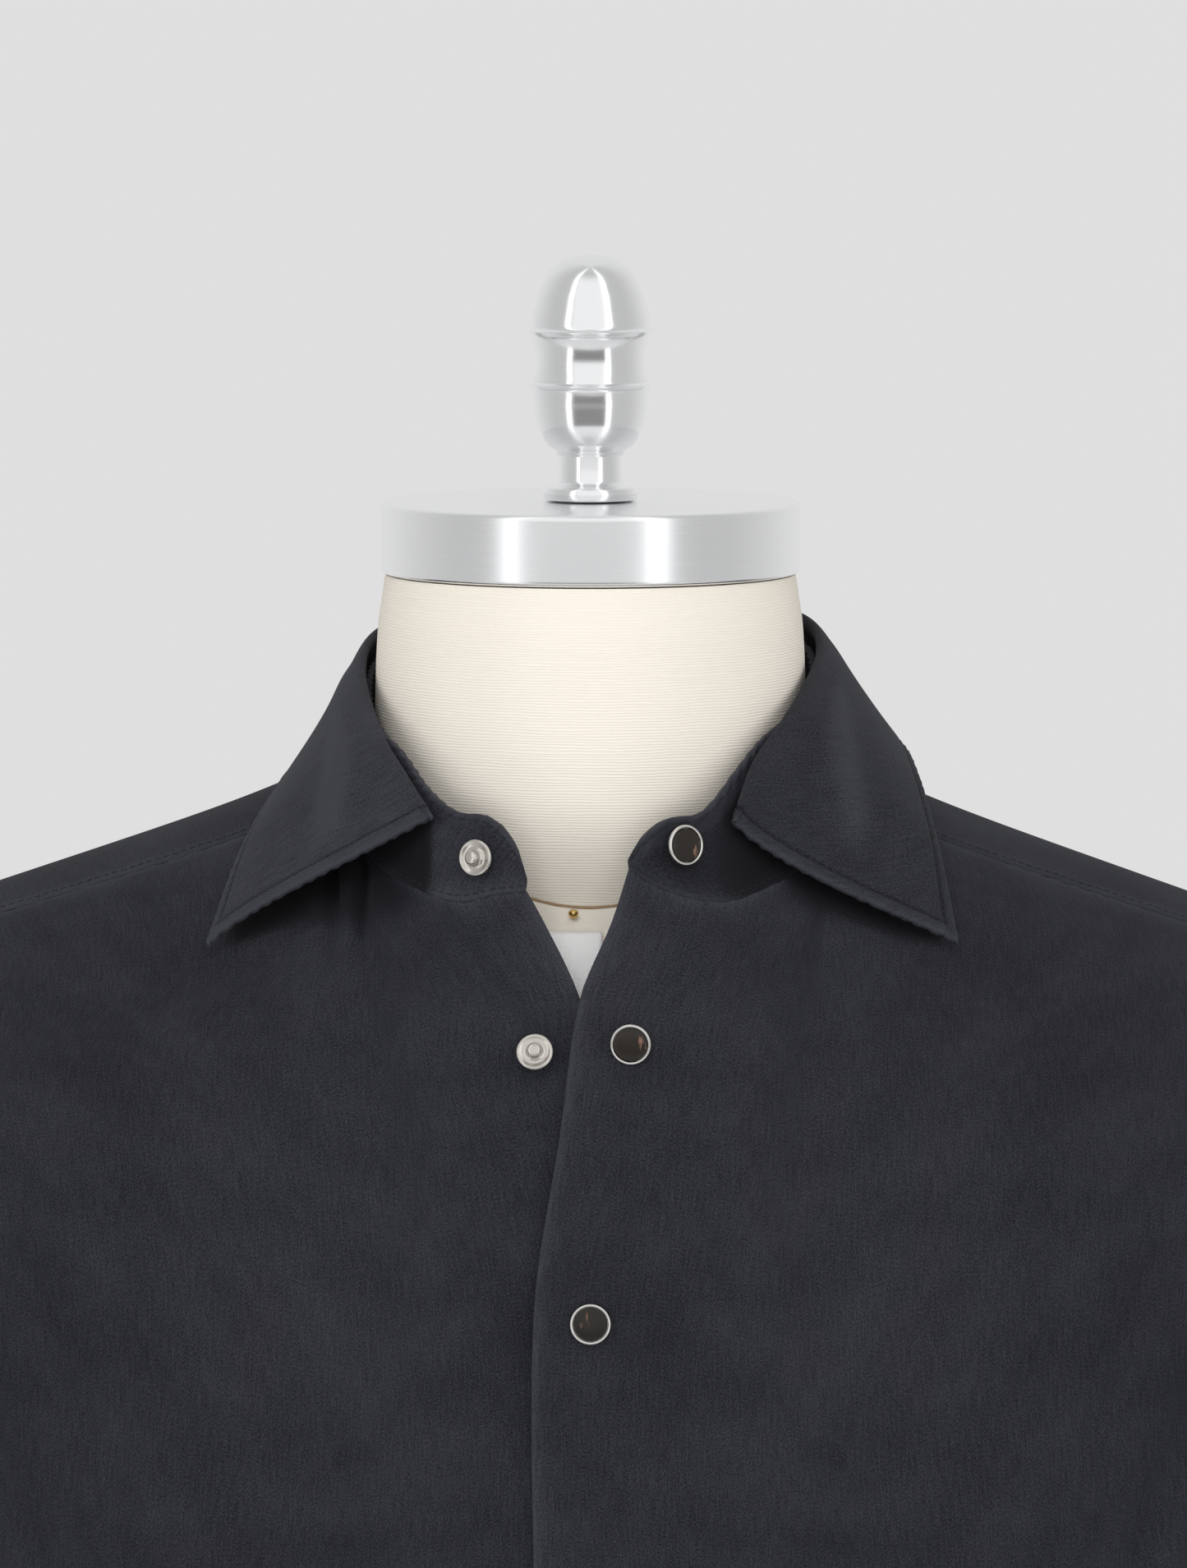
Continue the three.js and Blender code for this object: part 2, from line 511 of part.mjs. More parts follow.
// Sleeve plackets: a strip lying on the sleeve above the cuff's opening.
for (const hand of [-1, 1]) {
  const rows = steps(6, CUFF_TOP + 3, CUFF_TOP + 138).map((z) =>
    steps(3, 0.625, 0.685).map((s) => {
      const out = sleevePoint(hand, s, z).sub(V(hand * sleeveX(z), sleeveY(z), z)).normalize();
      return sleevePoint(hand, s, z).addScaledVector(out, 2.1 + 2 * smooth((CUFF_TOP + 40 - z) / 40));
    }));
  addMesh(hand < 0 ? "placket_right" : "placket_left", wall(rows, { gap: 0, flip: hand < 0 }), cotton);
}

// ---------------------------------------------------------------- snaps
// Ring snaps: a domed horn inlay held in a steel rim; the loose studs show on the right of the opening.
const SNAP_R = 6;
const RING_IN = 5.1;
const SNAP_SIDES = 16;
const lathe = (profile, n) => new THREE.LatheGeometry(profile.map(([r, z]) => new THREE.Vector2(r, z)), n)
  .rotateX(Math.PI / 2);
// A lathe's ends on the axis leave zero-area faces; this keeps the real ones and closes the seam.
function turned(profile, n) {
  const g = lathe(profile, n);
  g.deleteAttribute("normal");
  g.deleteAttribute("uv");
  const m = mergeVertices(g, 1e-3);
  const kept = [];
  const index = m.index.array;
  for (let i = 0; i < index.length; i += 3) {
    const [a, b, c] = [index[i], index[i + 1], index[i + 2]];
    if (a !== b && b !== c && a !== c) kept.push(a, b, c);
  }
  m.setIndex(kept);
  return m;
}
const rim = () => turned([[0, 0], [5.4, 0], [SNAP_R, 0.5], [SNAP_R, 1.4], [5.6, 1.9], [5.3, 1.9], [RING_IN, 1.6],
  [RING_IN, 0.6], [0, 0.6]], SNAP_SIDES);
const inlay = () => turned([[0, 0.9], [RING_IN - 0.3, 0.9], [RING_IN - 0.3, 1.6], [3.2, 2], [0, 2.2]], SNAP_SIDES);
const stud = () => turned([[0, 0], [5.2, 0], [5.3, 0.4], [4.6, 0.9], [2.6, 1.1], [2.2, 1.6], [2.3, 3.2], [1.8, 3.7],
  [0, 3.8]], SNAP_SIDES);

function place(geometry, point, normal, lift) {
  const turn = new THREE.Quaternion().setFromUnitVectors(V(0, 0, 1), normal);
  const at = point.clone().addScaledVector(normal, lift);
  return geometry.applyQuaternion(turn).translate(at.x, at.y, at.z);
}
function addSnap(name, point, normal, lift = 0.35) {
  addMesh(name + "_rim", place(rim(), point, normal, lift), steel);
  addMesh(name + "_inlay", place(inlay(), point, normal, lift), horn);
}
const bodyNormal = (x, z) => {
  const along = onBody(x + 4, z, -1).sub(onBody(x - 4, z, -1));
  return along.cross(onBody(x, z + 4, -1).sub(onBody(x, z - 4, -1))).normalize();
};
const standAt = (i, v) => {
  const at = (c, r) => {
    const [c0, r0] = [Math.floor(c), Math.floor(r)];
    const row = (k) => standSheet[k][c0].clone().lerp(standSheet[k][c0 + 1], c - c0);
    return row(r0).lerp(row(r0 + 1), r - r0);
  };
  const point = at(i, v);
  const normal = at(i, v + 0.4).sub(at(i, v - 0.4)).cross(at(i + 0.4, v).sub(at(i - 0.4, v))).normalize();
  return [point, normal];
};
// The band's ends twist outward, so the two parts of the top snap look half away from each other.
addSnap("snap_stand", standAt(STAND_COLUMNS - 1.3, 1.95)[0], V(0.56, -0.82, 0.1).normalize(), 1.3);
const studOnBand = place(stud(), standAt(1.05, 1.56)[0], V(-0.48, -0.87, 0.1).normalize(), 1.3);
addMesh("stud_stand", studOnBand, steel);
addSnap("snap_2", onBody(11.9, 726.4, -1), V(-0.1, -1, -0.05).normalize(), 2.1);
addMesh("stud_2", place(stud(), onBody(-16, 723.6, -1), bodyNormal(-16, 723.6), 0.35), steel);
steps(5, 647, 647 - 5 * SNAP_PITCH).forEach((z, i) =>
  addSnap("snap_" + (i + 3), onBody(0, z, -1), bodyNormal(0, z)));
for (const hand of [-1, 1]) {
  const z = CUFF_TOP - CUFF_DEEP / 2;
  const along = cuffPoint(hand, 0.985, z).sub(cuffPoint(hand, 0.965, z));
  const normal = along.cross(V(0, 0, -hand)).normalize().multiplyScalar(-1);
  addSnap(hand < 0 ? "snap_cuff_right" : "snap_cuff_left", cuffPoint(hand, 0.975, z), normal, 0.6);
}

// ---------------------------------------------------------------- dress form
// The padded body stands flat on its base and stays clear of the shirt all round.
const formHalf = table([[0, 158], [60, 170], [150, 168], [290, 148], [420, 158], [540, 170], [620, 180], [690, 196],
  [730, 200], [850, 200]]);
const formFront = table([[0, 100], [60, 110], [150, 108], [290, 100], [420, 110], [540, 118], [620, 117], [850, 118]]);
const formBack = table([[0, 104], [60, 114], [150, 114], [290, 92], [420, 98], [540, 107], [620, 109], [850, 107]]);
const FORM_COLUMNS = 20;
const formRidge = (x) => ridgeZ(x) - 5 - 38 * Math.exp(-((x / 45) ** 2)) - 10 * smooth((Math.abs(x) - 170) / 40);
function formPoint(q, z, side) {
  const angle = (q * Math.PI) / 2;
  const x = Math.sign(q) * formHalf(z) * Math.abs(Math.sin(angle)) ** (2 / 2.15);
  const round = Math.max(0, Math.cos(angle)) ** (2 / 2.15);
  const s = clamp01((z - CHEST) / (formRidge(x) - CHEST));
  const arch = Math.max(0, 1 - s ** ARCH_Z) ** (1 / ARCH_Y);
  return V(x, middleY(z) + side * (side < 0 ? formFront(z) : formBack(z)) * round * arch, z);
}
function formTop(q, a) {
  let z = CHEST;
  for (let i = 0; i < 40; i++) {
    const x = formPoint(q, z, 1).x;
    z = lerp(z, CHEST + (formRidge(x) - CHEST) * Math.cos(a) ** (2 / ARCH_Z), 0.5);
  }
  return z;
}
// Closes a stack of rings (lowest first) with fans at both ends.
function closed(rings) {
  const n = rings[0].length;
  const points = rings.flat();
  const middle = (r) => r.reduce((a, p) => a.add(p), V(0, 0, 0)).divideScalar(n);
  const [low, high] = [points.length, points.length + 1];
  points.push(middle(rings[0]), middle(rings.at(-1)));
  const faces = [];
  rings.slice(1).forEach((_, j) => {
    for (let i = 0; i < n; i++) {
      const [a, b] = [j * n + i, j * n + ((i + 1) % n)];
      faces.push(a, b, b + n, a, b + n, a + n);
    }
  });
  const last = (rings.length - 1) * n;
  for (let i = 0; i < n; i++) {
    faces.push(low, (i + 1) % n, i);
    faces.push(high, last + i, last + ((i + 1) % n));
  }
  const g = new THREE.BufferGeometry().setFromPoints(points);
  g.setIndex(faces);
  return g;
}
// Counter-clockwise from above: along the front from right (-X) to left (+X), then back again behind.
const aroundQ = [
  ...steps(FORM_COLUMNS, -1, 1).slice(0, -1).map((q) => [q, -1]),
  ...steps(FORM_COLUMNS, 1, -1).slice(0, -1).map((q) => [q, 1]),
];
const torsoRings = [
  ...[0, 60, 150, 220, 290, 360, 420, 480, 540, CHEST].map((z) => aroundQ.map(([q, side]) => formPoint(q, z, side))),
  ...steps(7, Math.PI / 2, 0.06).slice(1).map((a) => aroundQ.map(([q, side]) => formPoint(q, formTop(q, a), side))),
];
const neckSection = [[730, 60, 56, 4], [775, 64, 63, 1], [800, 64.5, 64.5, 0], [820, 64.3, 64.5, 0], [839, 63.4, 64, 0],
  [849, 62, 62.4, 0], [854.2, 61.2, 61.4, 0]];
const neckRings = neckSection.map(([z, rx, ry, y]) =>
  steps(48).slice(0, -1).map((t) => {
    const a = 2 * Math.PI * t;
    return V(rx * Math.cos(a), y + ry * Math.sin(a), z);
  }));

const wasm = await Module();
wasm.setup();
function solid(geometry) {
  const g = geometry.clone();
  g.deleteAttribute("normal");
  g.deleteAttribute("uv");
  const merged = mergeVertices(g, 1e-3);
  return new wasm.Manifold(new wasm.Mesh({
    numProp: 3,
    vertProperties: new Float32Array(merged.attributes.position.array),
    triVerts: new Uint32Array(merged.index.array),
  }));
}
function geometryOf(manifold) {
  const mesh = manifold.getMesh();
  const g = new THREE.BufferGeometry();
  const xyz = new Float32Array(mesh.numVert * 3);
  for (let i = 0; i < mesh.numVert; i++)
    for (let k = 0; k < 3; k++) xyz[i * 3 + k] = mesh.vertProperties[i * mesh.numProp + k];
  g.setAttribute("position", new THREE.BufferAttribute(xyz, 3));
  g.setIndex(new THREE.BufferAttribute(new Uint32Array(mesh.triVerts), 1));
  return g;
}
const formBody = solid(closed(torsoRings)).add(solid(closed(neckRings)));
addMesh("form_body", geometryOf(formBody), linen);

// A plain pale patch on the form's front, under its neck seam, and the pin at the middle of that seam.
const patchRows = steps(5, 700, 753).map((z) =>
  steps(4, -37, 3.4).map((x) => {
    const q = (Math.sign(x) * 2 * Math.asin(Math.abs(x / formHalf(z)) ** (2.15 / 2))) / Math.PI;
    return formPoint(q, z, -1).add(V(0, -1.9, 1.3));
  }));
addMesh("form_patch", wall(patchRows, { thick: 0.8, gap: 0 }), patchCloth);
const PIN = [-5, -63.3, 758.9];
const pin = turned([[0, -1.35], [0.85, -1.15], [1.35, -0.6], [1.5, 0], [1.35, 0.6], [0.85, 1.15], [0, 1.35]], 16);
addMesh("form_pin", pin.translate(...PIN), brass);

// Neck cap and its turned knob.
const capTop = CAP_BOTTOM + CAP_DEEP;
const neckCap = turned([[0, 0], [CAP_R - 1, 0], [CAP_R, 1], [CAP_R, CAP_DEEP - 1.2], [CAP_R - 1.2, CAP_DEEP],
  [0, CAP_DEEP]], 64);
addMesh("form_neck_cap", neckCap.translate(0, 0, CAP_BOTTOM), aluminium);
const knob = turned([[0, 0], [13.6, 0], [14.2, 0.8], [14, 4], [11, 4.8], [9.6, 5.6], [9.5, 13.6], [9.9, 14.6],
  [13, 16.6], [15.8, 21], [17, 27], [17.4, 31], [18.8, 34.5], [17.4, 36], [16.4, 42], [17.2, 46.5], [19.4, 50.5],
  [18, 52.4], [16.9, 58], [15.6, 64], [12.6, 69.4], [8, 72.6], [0, 73.6]], 32);
addMesh("form_knob", knob.translate(0, 0, capTop + 0.3), aluminium);

export default shirt;
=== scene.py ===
"""A dark snap-front cotton shirt on a limbless dress form with a metal neck cap, in its order of making."""
import math
import bpy
import numpy as np
from mathutils import Matrix, Vector


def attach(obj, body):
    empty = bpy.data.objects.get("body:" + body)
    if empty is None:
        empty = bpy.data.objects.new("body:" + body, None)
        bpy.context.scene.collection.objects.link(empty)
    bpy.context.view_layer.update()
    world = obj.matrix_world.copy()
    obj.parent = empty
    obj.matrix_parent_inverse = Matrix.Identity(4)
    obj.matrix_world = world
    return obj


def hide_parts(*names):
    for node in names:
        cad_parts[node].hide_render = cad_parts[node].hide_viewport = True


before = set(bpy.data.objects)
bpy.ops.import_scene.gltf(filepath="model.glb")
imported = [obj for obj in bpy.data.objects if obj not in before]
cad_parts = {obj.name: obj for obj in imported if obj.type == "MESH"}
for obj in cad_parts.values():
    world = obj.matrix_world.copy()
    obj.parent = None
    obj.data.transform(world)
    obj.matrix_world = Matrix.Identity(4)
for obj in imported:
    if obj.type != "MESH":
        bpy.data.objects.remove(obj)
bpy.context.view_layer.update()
bpy.ops.object.select_all(action="DESELECT")

# ------------------------------------------------------------------ camera, floor and light
# A long lens a few metres off, looking slightly down at the collar. The studio is a pale room with a large soft
# light above the camera, one at each side and a low one in front; a pale round floor carries the form.
camera = bpy.data.cameras.new("camera")
camera.lens = 231.34
camera.sensor_width = 36
camera_stand = bpy.data.objects.new("camera", camera)
camera_stand.location = (0.0009, -3.0, 1.0825)
camera_stand.rotation_euler = (math.radians(90 - 5.55), 0, 0)
bpy.context.scene.collection.objects.link(camera_stand)
bpy.context.scene.camera = camera_stand
bpy.context.scene.view_settings.view_transform = "Standard"

ROOM_GREY = 0.737
room = bpy.data.worlds.new("room")
room.use_nodes = True
bpy.context.scene.world = room


class Wire:
    """A number carried by a shader socket; each sum or product is one Math node."""

    def __init__(self, tree, socket):
        self.tree, self.socket = tree, socket

    def __add__(self, other):
        return maths("ADD", self, other)

    def __sub__(self, other):
        return maths("SUBTRACT", self, other)

    def __rsub__(self, other):
        return maths("SUBTRACT", other, self)

    def __mul__(self, other):
        return maths("MULTIPLY", self, other)

    def within(self, low, high):
        return maths("MINIMUM", maths("MAXIMUM", self, low), high)


def maths(operation, *values):
    tree = next(value.tree for value in values if isinstance(value, Wire))
    node = tree.nodes.new("ShaderNodeMath")
    node.operation = operation
    for socket, value in zip(node.inputs, values):
        joined(tree, value, socket)
    return Wire(tree, node.outputs[0])


def joined(tree, value, socket):
    """Link a wire or a socket to a socket, or set the socket to a plain value."""
    value = value.socket if isinstance(value, Wire) else value
    if isinstance(value, bpy.types.NodeSocket):
        tree.links.new(value, socket)
    else:
        socket.default_value = value


def placed(tree, kind, output=0, **inputs):
    """A new shader node with these inputs; its output as a wire."""
    node = tree.nodes.new(kind)
    for name, value in inputs.items():
        joined(tree, value, node.inputs[name.replace("_", " ")])
    return Wire(tree, node.outputs[output])


def axes(where):
    """The three parts of a place."""
    parts = placed(where.tree, "ShaderNodeSeparateXYZ", Vector=where).socket.node.outputs
    return [Wire(where.tree, part) for part in parts]


def ranged(value, low, high, to_low, to_high):
    """A smooth step between two levels."""
    step = placed(value.tree, "ShaderNodeMapRange", Value=value, From_Min=low, From_Max=high, To_Min=to_low,
                  To_Max=to_high)
    step.socket.node.interpolation_type = "SMOOTHSTEP"
    return step


air = room.node_tree
air.nodes.clear()
seen = placed(air, "ShaderNodeBackground", Color=(ROOM_GREY, ROOM_GREY, ROOM_GREY, 1))
direction = placed(air, "ShaderNodeTexCoord", "Generated")
to_right, to_back, upward_z = axes(direction)
rays = air.nodes.new("ShaderNodeLightPath").outputs

# What polished metal shows of the room: pale behind the camera, two bright tall strips, dimmer side walls.
turned_x = maths("ARCTAN2", to_right, to_back * -1.0)
turned_away = maths("ABSOLUTE", turned_x)
walls = ranged(turned_away, 1.2, 2.6, 0.56, 0.78)
ahead = ranged(upward_z, -0.28, 0.03, 0.26, 0.95) + ranged(upward_z, -0.7, -0.4, 0.35, 0)
ahead = ahead * ranged(upward_z, 0.75, 0.95, 1, 0.6)
facing = ranged(turned_away, 0.56, 0.72, 1, 0)
left_strip = ranged(turned_x, -0.90, -0.84, 0, 1.1) * ranged(turned_x, -0.72, -0.66, 1, 0)
right_strip = ranged(turned_x, 0.52, 0.58, 0, 1.1) * ranged(turned_x, 0.72, 0.78, 1, 0)
glossy = walls + facing * (ahead - walls) + (left_strip + right_strip)
level = glossy + Wire(air, rays["Is Diffuse Ray"]) * (0.40 - glossy)
shade = placed(air, "ShaderNodeCombineColor", Red=level, Green=level, Blue=level)
lit = placed(air, "ShaderNodeBackground", Color=shade)
either = air.nodes.new("ShaderNodeMixShader")
for socket, value in zip(either.inputs, (rays["Is Camera Ray"], lit, seen)):
    joined(air, value, socket)
joined(air, either.outputs[0], air.nodes.new("ShaderNodeOutputWorld").inputs["Surface"])


def soft_light(name, place, target, size, power):
    light = bpy.data.lights.new(name, "AREA")
    light.shape = "RECTANGLE"
    light.size, light.size_y = size
    light.energy = power
    stand = bpy.data.objects.new(name, light)
    stand.location = place
    stand.visible_glossy = False
    stand.rotation_euler = (Vector(target) - Vector(place)).to_track_quat("-Z", "Y").to_euler()
    bpy.context.scene.collection.objects.link(stand)


CHEST_POINT = (0, 0, 0.75)
soft_light("key", (-0.4, -2.1, 2.4), CHEST_POINT, (1.3, 1.0), 20)
soft_light("side_left", (-1.8, -1.1, 1.3), CHEST_POINT, (0.5, 1.5), 12.5)
soft_light("side_right", (1.8, -1.1, 1.3), CHEST_POINT, (0.5, 1.5), 13.5)
soft_light("front_fill", (0, -2.6, 0.7), CHEST_POINT, (1.4, 0.7), 14)

bpy.ops.mesh.primitive_circle_add(vertices=96, radius=1.6, fill_type="NGON", location=(0, 0, -0.0008))
floor = bpy.context.object
floor.name = "floor"


def new_finish(name, **plain):
    """A new material with its tree and its shader's sockets; the plain values are set on the shader itself."""
    finish = bpy.data.materials.new(name)
    finish.use_nodes = True
    shader = finish.node_tree.nodes["Principled BSDF"].inputs
    for socket, value in plain.items():
        shader[socket.replace("_", " ")].default_value = value
    return finish, finish.node_tree, shader


floor.data.materials.append(new_finish("floor_paint", Base_Color=(0.72, 0.72, 0.72, 1), Roughness=0.8)[0])

# ------------------------------------------------------------------ the two fronts
# Fine dyed cotton, cut as a right front and a left front that lap at the middle, the left over the right. Both
# run from a straight folded edge to the side seam and armhole, and up to the neckline and the yoke seam.
# All shirt sizes are millimetres, in the row's frame.
MM = 0.001
CLOTH = 1.2
SEAM_GAP = 0.25
HEM_FRONT, HEM_SIDE, UNDERARM, CHEST = 42, 112, 548, 620
NECK_POINT_X, NECK_POINT_Z = 70, 797.8
SLOPE_RIGHT, SLOPE_LEFT = 0.335, 0.358
TIP_X, RIDGE_Y = 226, 8
OVERLAP, NECK_SEAM_Z = 16.5, 767
SQUARE, ARCH_Z, ARCH_Y = 2.3, 2.2, 1.7
FRONT_SEAM_ARCH, YOKE_BACK_Z = -19, 712


def lerp(a, b, t):
    return a + (b - a) * t


def smooth(t):
    t = np.clip(t, 0, 1)
    return t * t * (3 - 2 * t)


def curve(*pairs):
    """A smooth curve through (key, value) pairs, read at any keys."""
    keys, values = np.array(pairs, float).T
    n = len(keys)
    lower, upper = np.maximum(np.arange(n) - 1, 0), np.minimum(np.arange(n) + 1, n - 1)
    slope = (values[upper] - values[lower]) / (keys[upper] - keys[lower])

    def read(key):
        k = np.clip(key, keys[0], keys[-1])
        i = np.clip(np.searchsorted(keys, k) - 1, 0, n - 2)
        h = keys[i + 1] - keys[i]
        t = (k - keys[i]) / h
        return ((2 * t**3 - 3 * t**2 + 1) * values[i] + (t**3 - 2 * t**2 + t) * h * slope[i]
                + (3 * t**2 - 2 * t**3) * values[i + 1] + (t**3 - t**2) * h * slope[i + 1])

    return read


half_width = curve((40, 210), (200, 206), (400, 200), (520, 198), (600, 202), (640, 206), (680, 214), (715, 226),
                   (745, 246), (850, 258))
depth_front = curve((40, 124), (200, 127), (400, 129), (520, 129), (620, 127), (700, 131), (850, 134))
depth_back = curve((40, 128), (200, 124), (400, 119), (520, 119), (620, 120), (700, 118), (850, 116))
middle_y = curve((40, 0), (520, 0), (620, 0), (700, 4), (790, RIDGE_Y), (850, RIDGE_Y))
armhole_x = curve((540, 201), (548, 199), (562, 192), (585, 188), (615, 186.5), (650, 188), (682, 193),
                  (715, 206), (746, 227), (760, 235))
left_edge_x = curve((42, -OVERLAP), (560, -OVERLAP), (650, -OVERLAP), (701, -9), (739, -3.2), (760, 6),
                    (776, 11.5))
right_edge_x = curve((42, OVERLAP), (560, OVERLAP), (650, OVERLAP), (725, -0.4), (739, -3), (761, -14),
                     (770, -19.5))


def xyz(x, y, z):
    return np.stack(np.broadcast_arrays(x, y, z), -1).astype(float)


def ridge_z(x):
    """Height of the shoulder ridge."""
    a = np.hypot(x, 24)
    slope = lerp(SLOPE_RIGHT, SLOPE_LEFT, smooth((x + 60) / 120))
    return NECK_POINT_Z - slope * (a - NECK_POINT_X) - 7 * smooth((a - 185) / 60) + 27 * np.exp(-((a / 58) ** 2))


def drape(x, side, z):
    """The large loose folds of the lower body."""
    a = x / 200
    waves = 5.5 * np.sin(9.5 * a + 0.6 + side * 0.9) + 3.5 * np.sin(16 * a - 0.8 * side)
    return smooth((540 - z) / 420) * waves * (0.35 + 0.65 * smooth(np.abs(a) * 1.6 - 0.15))


def torso(q, z, side, half, depth, ridge, square, loose=None):
    """A trunk with an arched top: q from -1 at the right side to 1 at the left one, side -1 front or 1 back."""
    angle = q * math.pi / 2
    x = np.sign(q) * half * np.abs(np.sin(angle)) ** (2 / square)
    round_off = np.maximum(0, np.cos(angle)) ** (2 / square)
    s = np.clip((z - CHEST) / (ridge(x) - CHEST), 0, 1)
    arch = np.maximum(0, 1 - s**ARCH_Z) ** (1 / ARCH_Y)
    depth = depth * round_off * arch
    if loose:
        depth = depth + loose(x, side, z) * np.minimum(1, round_off * 1.6)
    return xyz(x, middle_y(z) + side * depth, z)


def body(q, z, side):
    """The shirt's surface, from one side seam to the other."""
    depth = (depth_front if side < 0 else depth_back)(z)
    return torso(q, z, side, half_width(z), depth, ridge_z, SQUARE, drape)


def q_of(x, z, half=half_width, square=SQUARE):
    r = np.minimum(1, np.abs(x) / half(z))
    return np.sign(x) * 2 * np.arcsin(r ** (square / 2)) / math.pi


def on_arch(x, arch):
    """The surface over the shoulder at x: arch in degrees, -90 in front, 0 on the ridge, 90 behind."""
    arch = np.asarray(arch, float)
    z = CHEST + (ridge_z(x) - CHEST) * np.cos(np.radians(np.abs(arch))) ** (2 / ARCH_Z)
    q = q_of(x, z)
    return np.where((arch < 0)[..., None], body(q, z, -1), body(q, z, 1))


def body_out(q, z, side):
    a = np.clip(q, -0.985, 0.985)
    along = body(a + 0.01, z, side) - body(a - 0.01, z, side)
    up = body(a, z + 1, side) - body(a, z - 1, side)
    normal = np.cross(along, up) * -side
    lean = (half_width(z - 1) - half_width(z + 1)) / 2
    normal = np.where((np.abs(q) > 0.985)[..., None], xyz(np.sign(q), 0 * z, lean), normal)
    return normal / np.linalg.norm(normal, axis=-1, keepdims=True)


def arch_at(x, z):
    """Arch angle behind the ridge at a height."""
    low, high = np.zeros_like(x * z * 1.0), np.full_like(x * z * 1.0, 90)
    for _ in range(40):
        mid = (low + high) / 2
        above = on_arch(x, mid)[..., 2] > z
        low, high = np.where(above, mid, low), np.where(above, high, mid)
    return (low + high) / 2


def armhole_at_arch(hand, arch):
    x = np.full_like(np.asarray(arch, float), TIP_X)
    for _ in range(40):
        x = lerp(x, armhole_x(on_arch(hand * x, arch)[..., 2]), 0.5)
    return hand * x


def ramp(n, length, close=(0.7, 1.6, 2.8, 4.2, 5.6)):
    """n + 1 fractions of a length, closer together at both ends."""
    near = np.array([0, *close]) / length
    far = np.linspace(near[-1], 1 - near[-1], n + 1 - 2 * len(close))
    return np.concatenate([near[:-1], far, 1 - near[-2::-1]])


def smooth_line(points, n=None, at=None):
    """A centripetal curve through points, read at n + 1 even steps of its length or at given fractions of it."""
    p = np.asarray(points, float)
    p = np.concatenate([[2 * p[0] - p[1]], p, [2 * p[-1] - p[-2]]])
    knots = np.concatenate([[0], np.cumsum(np.linalg.norm(np.diff(p, axis=0), axis=1) ** 0.5)])
    dense = []
    for i in range(1, len(p) - 2):
        t0, t1, t2, t3 = knots[i - 1:i + 3]
        t = np.linspace(t1, t2, 40, endpoint=i == len(p) - 3)[:, None]

        def between(low, high, first, second):
            return ((high - t) * first + (t - low) * second) / (high - low)

        a1, a2 = between(t0, t1, p[i - 1], p[i]), between(t1, t2, p[i], p[i + 1])
        a3 = between(t2, t3, p[i + 1], p[i + 2])
        dense.append(between(t1, t2, between(t0, t2, a1, a2), between(t1, t3, a2, a3)))
    return spaced(np.concatenate(dense), np.linspace(0, 1, n + 1) if at is None else at)


def spaced(line, at):
    run = np.concatenate([[0], np.cumsum(np.linalg.norm(np.diff(line, axis=0), axis=1))])
    return np.stack([np.interp(np.asarray(at) * run[-1], run, line[:, k]) for k in range(line.shape[1])], -1)


def fill(bottom, top, left, right):
    """A sheet between four edges, each a row of pairs (a Coons patch)."""
    v = np.linspace(0, 1, len(left))[:, None, None]
    u = ((bottom[:, 0] - bottom[0, 0]) / (bottom[-1, 0] - bottom[0, 0]))[None, :, None]
    corners = lerp(lerp(bottom[0], bottom[-1], u), lerp(top[0], top[-1], u), v)
    return lerp(bottom[None], top[None], v) + lerp(left[:, None], right[:, None], u) - corners


def runs(p):
    """How far each point is from the first and last column and row, along the cloth."""
    across = np.cumsum(np.linalg.norm(np.diff(p, axis=1, prepend=p[:, :1]), axis=2), axis=1)
    upward = np.cumsum(np.linalg.norm(np.diff(p, axis=0, prepend=p[:1]), axis=2), axis=0)
    return across, across[:, -1:] - across, upward, upward[-1:] - upward


def from_edge(p, ring=False):
    """How far each point is from the nearest edge of its piece."""
    left, right, low, high = runs(p)
    return np.minimum(low, high) if ring else np.minimum(np.minimum(left, right), np.minimum(low, high))


def outward(p, flip, ring=False):
    if ring:
        along = np.roll(p, -1, 1) - np.roll(p, 1, 1)
    else:
        along = np.gradient(p, axis=1)
    normal = np.cross(along, np.gradient(p, axis=0)) * (-1 if flip else 1)
    return normal / np.maximum(np.linalg.norm(normal, axis=-1, keepdims=True), 1e-9)


def quads(rows):
    """Faces between neighbouring rows and columns of point numbers."""
    return np.stack([rows[:-1, :-1], rows[:-1, 1:], rows[1:, 1:], rows[1:, :-1]], -1).reshape(-1, 4)


def closed_round(index):
    """The same rows with their first column again at the end."""
    return np.concatenate([index, index[:, :1]], 1)


def new_piece(name, points, faces, finish):
    """An object of its own from points in millimetres."""
    mesh = bpy.data.meshes.new(name)
    mesh.from_pydata((points.reshape(-1, 3) * MM).tolist(), [], faces)
    mesh.shade_smooth()
    mesh.materials.append(finish)
    piece = bpy.data.objects.new(name, mesh)
    bpy.context.scene.collection.objects.link(piece)
    return piece


def fitted(piece, slot, *nodes):
    """The piece moves with the root part and stands for these solids, which are hidden; the slot is not used."""
    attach(piece, "root")
    if nodes:
        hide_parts(*nodes)
    return piece


FOLD_EASE, WORN_EDGE = 1.1, 2.4


